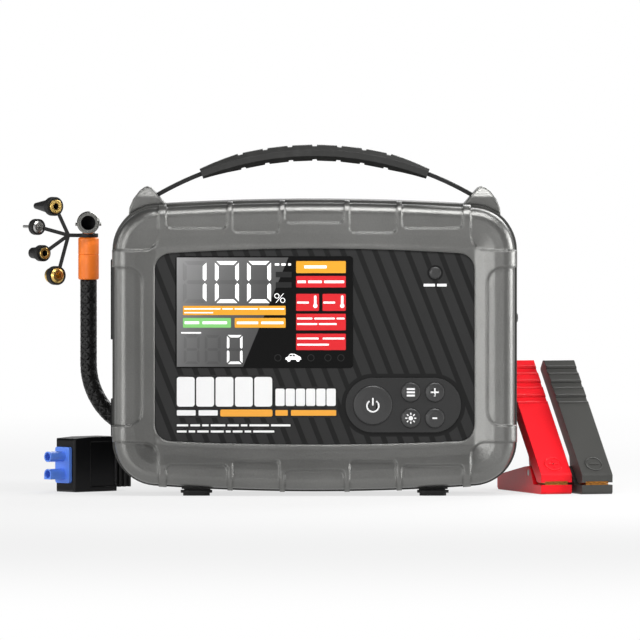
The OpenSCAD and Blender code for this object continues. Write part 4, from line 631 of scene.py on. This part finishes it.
# digits: from x, from z, width, height, stroke, gap, lit segments, unlit segments
# strips: from x, from z, to x, height
display = {
    "front": 39.02, "thick": 0.14, "signLift": 0.03, "glazingLift": 0.06, "sink": 0.02,
    "digits": [
        (-81.2, 119.1, 14.5, 25.9, 2.3, 0.9, "bc", "adefg"),
        (-61.5, 119.1, 14.8, 25.9, 2.3, 0.9, "abcdef", "g"),
        (-41.7, 119.1, 14.8, 25.9, 2.3, 0.9, "abcdef", "g"),
        (-54.1, 81.5, 9.6, 17.9, 1.5, 0.65, "abcdef", "g"),
        (-67.7, 81.5, 9.6, 17.9, 1.5, 0.65, "", "abcdefg"),
        (-80.6, 81.5, 9.6, 17.9, 1.5, 0.65, "", "abcdefg")],
    "percentRings": [(-23.3, 123.5), (-19.7, 120.8)],
    "percentSlash": [(-24.1, 119.3), (-23.6, 119.3), (-18.9, 125.1), (-19.4, 125.1)],
    "ring": {"radius": 1.6, "stroke": 0.45, "steps": 14},
    "strips": [
        (-24.6, 142.2, -21.8, 1.4), (-20.6, 142.2, -17.8, 1.4), (-16.4, 142.2, -14.6, 1.4),
        (-82.3, 100.3, -70.0, 0.9),
        (-6.4, 140.5, 7.4, 1.8),
        (-10.6, 131.4, -5.4, 1.6), (-4.0, 131.4, 4.4, 1.6), (5.8, 131.4, 18.2, 1.6),
        (-10.8, 118.8, -3.6, 1.2), (5.4, 118.8, 12.6, 1.2),
        (-10.8, 109.0, -1.4, 1.1), (-0.2, 109.0, 12.4, 1.1), (13.6, 109.0, 18.4, 1.1),
        (-10.8, 105.6, 1.6, 1.1), (2.6, 105.6, 13.6, 1.1),
        (-10.8, 96.7, 2.4, 1.1), (5.0, 96.7, 18.4, 1.1), (-10.8, 92.9, 8.8, 1.1),
        (-80.2, 106.1, -71.2, 1.7), (-69.2, 106.1, -54.0, 1.7),
        (-48.0, 106.1, -34.8, 1.6), (-33.0, 106.1, -19.2, 1.6),
        (-80.4, 115.1, -58.0, 0.8), (-57.0, 115.1, -50.4, 0.8),
        (-49.4, 115.1, -35.0, 0.8), (-34.0, 115.1, -18.6, 0.8),
        (-80.4, 112.8, -62.6, 0.7)],
    "thermometers": {"x": (0.4, 17.0), "low": 118.0, "high": 123.8, "half": 0.75, "bulbZ": 117.4, "bulb": 1.35},
    "car": [(-18.1, 84.2), (-17.9, 85.4), (-16.6, 86.0), (-15.4, 87.5), (-14.6, 87.9), (-12.4, 87.8),
            (-10.9, 86.3), (-8.6, 85.7), (-8.2, 84.2)],
    "wheels": {"x": (-15.9, -10.3), "z": 84.0, "radius": 1.1},
    "glazing": [[(-16.0, 86.2), (-15.1, 87.2), (-14.0, 87.3), (-14.0, 86.2)],
                [(-13.5, 86.2), (-13.5, 87.3), (-12.6, 87.2), (-11.6, 86.2)]],
    "faintRings": {"x": (-22.7, -2.3, 8.2, 16.2), "z": 85.3, "radius": 2.2},
    "faintBlocks": {"x": (-24.0, -14.2), "z": (135.0, 128.6), "tall": 3.4},
    "bars": {
        "amber": [(-81.2, 111.7, -17.9, 117.4), (-49.3, 103.9, -17.9, 109.9), (-11.4, 137.6, 19.2, 145.0)],
        "green": [(-81.2, 103.9, -51.6, 109.9)],
        "red": [(-11.4, 128.7, 19.2, 135.8), (-11.4, 114.3, 2.7, 124.8), (4.9, 114.3, 19.2, 124.8),
                (-11.4, 102.3, 19.2, 112.5), (-11.4, 90.1, 19.2, 100.2)]},
}
litWhite = printInk("litWhite", tone(250, 250, 250), 0.35)
darkInk = printInk("darkSigns", tone(20, 20, 20))
faintGrey = printInk("faintSigns", tone(26, 26, 26))
amber = printInk("litAmber", tone(238, 166, 44), 0.05)
green = printInk("litGreen", tone(132, 204, 118), 0.08)
red = printInk("litRed", tone(218, 34, 42), 0.05)


def digit(x, z, wide, tall, stroke, gap, lit):
    # seven segments with slanting ends: a is the top one, then clockwise to f, and g in the middle
    half, m, g = tall / 2, stroke, gap
    right, top = x + wide, z + tall
    tip, notch, slant, blunt = m * 0.45, g * 0.7, m * 0.3, m * 0.6
    shapes = {
        "a": [(x + g, top), (x + m + g, top - m), (right - m - g, top - m), (right - g, top)],
        "b": [(right, top - g), (right - m, top - m - g), (right - m, z + half + m / 2 + g),
              (right - tip, z + half + notch), (right, z + half + slant + g)],
        "c": [(right, z + half - slant - g), (right - tip, z + half - notch),
              (right - m, z + half - m / 2 - g), (right - m, z + m + g), (right, z + g)],
        "d": [(x + g, z), (right - g, z), (right - m - g, z + m), (x + m + g, z + m)],
        "e": [(x, z + g), (x + m, z + m + g), (x + m, z + half - m / 2 - g),
              (x + tip, z + half - notch), (x, z + half - slant - g)],
        "f": [(x, z + half + slant + g), (x + tip, z + half + notch),
              (x + m, z + half + m / 2 + g), (x + m, top - m - g), (x, top - g)],
        "g": [(x + blunt + g, z + half), (x + m + g, z + half - m / 2), (right - m - g, z + half - m / 2),
              (right - blunt - g, z + half), (right - m - g, z + half + m / 2), (x + m + g, z + half + m / 2)],
    }
    return [shapes[s] for s in lit]


def makeDisplay():
    def onGlass(name, shapes, lift, finish):
        flatPiece(name, shapes, display["front"] + lift, display["thick"], finish)

    ring, warm, wheels = display["ring"], display["thermometers"], display["wheels"]
    dim, bare = display["faintRings"], display["faintBlocks"]
    lit, ghosts = [], []
    for *place, on, off in display["digits"]:
        lit += digit(*place, on)
        ghosts += digit(*place, off)
    for x, z in display["percentRings"]:
        lit += ringHalves(x, z, ring["radius"], ring["stroke"], ring["steps"])
    lit.append(display["percentSlash"])
    lit += [block(x0, z0, x1, z0 + rise, 0.25, 3) for x0, z0, x1, rise in display["strips"]]
    for x in warm["x"]:
        lit += [block(x - warm["half"], warm["low"], x + warm["half"], warm["high"], 0.7, 4),
                disc(x, warm["bulbZ"], warm["bulb"])]
    lit.append(display["car"])
    lit += [disc(x, wheels["z"], wheels["radius"]) for x in wheels["x"]]
    onGlass("litDigits", lit, display["signLift"], litWhite)
    onGlass("carGlazing", display["glazing"], display["glazingLift"], darkInk)
    faint = []
    for x in dim["x"]:
        faint += ringHalves(x, dim["z"], dim["radius"], ring["stroke"], ring["steps"])
    faint += [block(bare["x"][0], z, bare["x"][1], z + bare["tall"], 0.3, 3) for z in bare["z"]]
    onGlass("faintSigns", faint, -display["sink"], faintGrey)
    onGlass("ghostDigits", ghosts, -display["sink"], ghostFinish)
    for name, finish in (("amber", amber), ("green", green), ("red", red)):
        onGlass(name + "Bars", [block(*bar, 0.5) for bar in display["bars"][name]], 0, finish)


makeDisplay()
print("display lit")


# print on the panel: plain blocks and strips

# rows: from x, pitch, width, from z, to z, corner radius, count; lines: from z, the words' widths
panelPrint = {
    "front": 38.86, "thick": 0.12, "shadeSink": 0.03, "left": -85.0,
    "rows": [(-85.0, 11.95, 11.0, 55.2, 73.5, 1.6, 5), (-24.2, 6.3, 5.7, 55.6, 66.3, 1.0, 6)],
    "whiteStrips": [(-85.0, 49.7, -73.4, 53.0, 0.5), (-71.6, 49.7, -59.8, 53.0, 0.5)],
    "orangeStrips": [
        (-58.2, 49.1, -26.0, 53.4, 1.0), (-24.2, 49.6, -16.6, 53.1, 0.5), (-14.6, 49.6, 13.3, 53.1, 0.5)],
    "lines": [(43.0, (7, 6, 4, 9, 7, 4, 12, 12)), (39.2, (6, 4, 7, 8, 3, 6, 4, 13))],
    "word": {"tall": 1.3, "gap": 1.3, "radius": 0.25},
    "lineShade": {"left": -86.0, "right": 0.4, "under": 0.8, "over": 2.1, "radius": 0.8},
    "startStrips": [(67.2, 129.3, 74.2, 131.0, 0.3, 3), (75.4, 129.3, 81.4, 131.0, 0.3, 3)],
    "shades": [(-86.1, 54.2, -25.1, 74.6, 2.2), (-25.3, 54.6, 14.2, 67.4, 1.6), (-86.1, 48.4, 14.2, 54.0, 1.0)],
}
printWhite = printInk("printWhite", tone(240, 240, 240))
printOrange = printInk("printOrange", tone(240, 168, 62))
printShade = printInk("printShade", tone(24, 24, 24))


def makePrint():
    front, thick = panelPrint["front"], panelPrint["thick"]
    word, under = panelPrint["word"], panelPrint["lineShade"]
    white, shade = [], []
    for left, pitch, wide, low, high, radius, count in panelPrint["rows"]:
        for i in range(count):
            x = left + pitch * i
            white.append(block(x, low, x + wide, high, radius))
    white += [block(*strip) for strip in panelPrint["whiteStrips"]]
    for z, words in panelPrint["lines"]:
        x = panelPrint["left"]
        for wide in words:
            white.append(block(x, z, x + wide, z + word["tall"], word["radius"], 2))
            x += wide + word["gap"]
        shade.append(block(under["left"], z - under["under"], x - under["right"], z + under["over"],
                           under["radius"]))
    white += [block(*strip) for strip in panelPrint["startStrips"]]
    shade += [block(*plate) for plate in panelPrint["shades"]]
    orange = [block(*strip) for strip in panelPrint["orangeStrips"]]
    behind = front - panelPrint["shadeSink"]
    flatPiece("panelPrintShade", shade, behind, thick, printShade)
    flatPiece("panelWhitePrint", white, front, thick, printWhite)
    flatPiece("panelOrangePrint", orange, front, thick, printOrange)


makePrint()


# signs on the buttons

# centres are (x, z) in mm
signs = {
    "lift": 0.05, "thick": 0.2, "power": (35.9, 56.1), "plus": (74.1, 64.1), "minus": (74.1, 48.1),
    "menu": (59.3, 64.1), "lamp": (59.3, 48.1), "menuBars": (-2.0, 0, 2.0), "rays": 8,
    "ray": [(2.1, 0.38), (3.4, 0.38), (3.4, -0.38), (2.1, -0.38)],
}


def makeSigns():
    def onButton(name, node, body, shapes):
        low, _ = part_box(node)
        flatPiece(name, shapes, -low.y / mm + signs["lift"], signs["thick"], printWhite, body)

    x, z = signs["power"]
    onButton("powerSign", "power_button", "power_key",
             [ringPart(x, z - 0.4, 4.1, 0.95, 125, 415, 36), block(x - 0.5, z - 0.2, x + 0.5, z + 4.5, 0.3)])
    x, z = signs["plus"]
    onButton("plusSign", "plus_button", "plus_key", [
        [(x - 0.5, z - 2.5), (x + 0.5, z - 2.5), (x + 0.5, z - 0.5), (x + 2.5, z - 0.5), (x + 2.5, z + 0.5),
         (x + 0.5, z + 0.5), (x + 0.5, z + 2.5), (x - 0.5, z + 2.5), (x - 0.5, z + 0.5), (x - 2.5, z + 0.5),
         (x - 2.5, z - 0.5), (x - 0.5, z - 0.5)]])
    x, z = signs["minus"]
    onButton("minusSign", "minus_button", "minus_key", [block(x - 1.5, z - 0.5, x + 1.5, z + 0.5, 0.1)])
    x, z = signs["menu"]
    onButton("menuSign", "mode_button", "mode_key",
             [block(x - 2.5, z + dz - 0.6, x + 2.5, z + dz + 0.6, 0.25) for dz in signs["menuBars"]])
    x, z = signs["lamp"]
    rays = []
    for k in range(signs["rays"]):
        turn = 2 * math.pi * k / signs["rays"]
        c, t = math.cos(turn), math.sin(turn)
        rays.append([(x + c * r - t * w, z + t * r + c * w) for r, w in signs["ray"]])
    onButton("lampSign", "light_button", "light_key", [disc(x, z, 1.4, 23)] + rays)


makeSigns()


# raised signs in the rings near the clamps' noses; bars are half lengths along and across the arm, in mm
emblem = {
    "slope": 43.4, "centre": (7.02, 0, 18.32), "lift": 0.2, "halfThick": 0.24,
    "plusBars": [(3.0, 0.55), (0.55, 3.0)], "minusBars": [(0.6, 3.0)],
}


def clampSign(name, nose, bars, finish, body):
    angle, centre = math.radians(emblem["slope"]), Vector(emblem["centre"])
    along = Vector((math.cos(angle), 0, math.sin(angle)))
    across = Vector((0, 1, 0))
    out = Vector((-math.sin(angle), 0, math.cos(angle)))
    turn = Matrix.Rotation(math.radians(spring["yaw"]), 3, "Z")
    bm = bmesh.new()
    for halfLong, halfWide in bars:
        box = bmesh.ops.create_cube(bm, size=2)["verts"]
        for v in box:
            local = (centre + along * v.co.x * halfLong + across * v.co.y * halfWide
                     + out * (emblem["lift"] + emblem["halfThick"] * v.co.z))
            v.co = turn @ (local * mm) + point(nose[0], nose[1], 0)
    bmesh.ops.recalc_face_normals(bm, faces=bm.faces)
    mesh = bpy.data.meshes.new(name)
    bm.to_mesh(mesh)
    bm.free()
    showPiece(name, mesh, finish, body)


clampSign("plusEmblem", noses["red"], emblem["plusBars"], clampRed, "red_handle")
clampSign("minusEmblem", noses["black"], emblem["minusBars"], clampBlack, "black_handle")
print("print and signs laid")


# floor, world and lamps, in metres and watts
studio = {
    "floorHalf": 14, "wallBack": 13.9, "wallHalf": 4, "wallLow": -0.1, "wallHigh": 6, "world": 0.09,
    "fadeAt": 0.9, "fadeSoft": 0.6, "whiteNear": 0.7, "whiteGain": 0.3,
    "lamps": {
        "leftWide": {"at": (-2.0, -3.85, 0.48), "aim": (0.05, 0, 0.1), "size": (1.7, 0.95), "power": 55},
        "leftSide": {"at": (-0.9, -0.2, 0.35), "aim": (-0.15, 0.03, 0.12), "size": (0.25, 0.5), "power": 2.4},
        "topStrip": {"at": (0.16, -0.36, 0.68), "aim": (0.08, -0.02, 0.15), "size": (0.6, 0.12), "power": 4.6},
        "rightSide": {"at": (0.95, -0.12, 0.3), "aim": (0.1, 0, 0.1), "size": (0.4, 0.5), "power": 8},
        "backSoft": {"at": (0.5, 1.1, 0.9), "aim": (0, 0, 0.1), "size": (1.0, 0.8), "power": 16},
    },
}


def stagePlane(name, corners):
    mesh = bpy.data.meshes.new(name)
    mesh.from_pydata(corners, [], [(0, 1, 2, 3)])
    piece = bpy.data.objects.new(name, mesh)
    bpy.context.scene.collection.objects.link(piece)
    return mesh


def makeStudio():
    span = studio["floorHalf"]
    floor = stagePlane("floor", [(-span, -span, 0), (span, -span, 0), (span, span, 0), (-span, span, 0)])
    p = Paint("paleFloor")
    seen = p.add("ShaderNodeLightPath", out="Is Camera Ray")
    gloss = p.add("ShaderNodeLightPath", out="Is Glossy Ray")
    clear = p.add("ShaderNodeLightPath", out="Is Transmission Ray")
    shown = (seen + gloss + clear).math("MINIMUM", 1.0)
    away = p.add("ShaderNodeVectorMath", {"operation": "LENGTH"}, {0: p.place}, out="Value")
    fade = away.above(studio["fadeAt"], studio["fadeSoft"])
    grit = p.noise(0.01, 2)
    matt = p.add("ShaderNodeBsdfDiffuse", None, {"Color": grit.mix(tone(205, 205, 205), tone(212, 212, 212))})
    white = p.add("ShaderNodeEmission", None, {"Color": (1, 1, 1, 1), "Strength": 1.0})
    share = shown * (fade * studio["whiteGain"] + studio["whiteNear"])
    mixed = p.add("ShaderNodeMixShader", None, {0: share, 1: matt, 2: white})
    p.add("ShaderNodeOutputMaterial", None, {"Surface": mixed})
    floor.materials.append(p.material)

    far, side, low, high = (studio[k] for k in ("wallBack", "wallHalf", "wallLow", "wallHigh"))
    wall = stagePlane("wall", [(-side, far, low), (side, far, low), (side, far, high), (-side, far, high)])
    p = Paint("whiteWall")
    p.add("ShaderNodeOutputMaterial", None, {
        "Surface": p.add("ShaderNodeEmission", None, {"Color": (1, 1, 1, 1), "Strength": 1.0})})
    wall.materials.append(p.material)

    world = bpy.data.worlds.new("studio")
    bpy.context.scene.world = world
    world.use_nodes = True
    dim = world.node_tree.nodes["Background"]
    dim.inputs["Color"].default_value = (1, 1, 1, 1)
    dim.inputs["Strength"].default_value = studio["world"]

    for name, lamp in studio["lamps"].items():
        data = bpy.data.lights.new(name, "AREA")
        data.shape = "RECTANGLE"
        data.size, data.size_y = lamp["size"]
        data.energy = lamp["power"]
        rig = bpy.data.objects.new(name, data)
        bpy.context.scene.collection.objects.link(rig)
        rig.location = lamp["at"]
        rig.rotation_euler = (Vector(lamp["aim"]) - rig.location).to_track_quat("-Z", "Y").to_euler()
        rig.visible_camera = False
    bpy.context.scene.view_settings.view_transform = "Standard"


makeStudio()
print("studio lit")
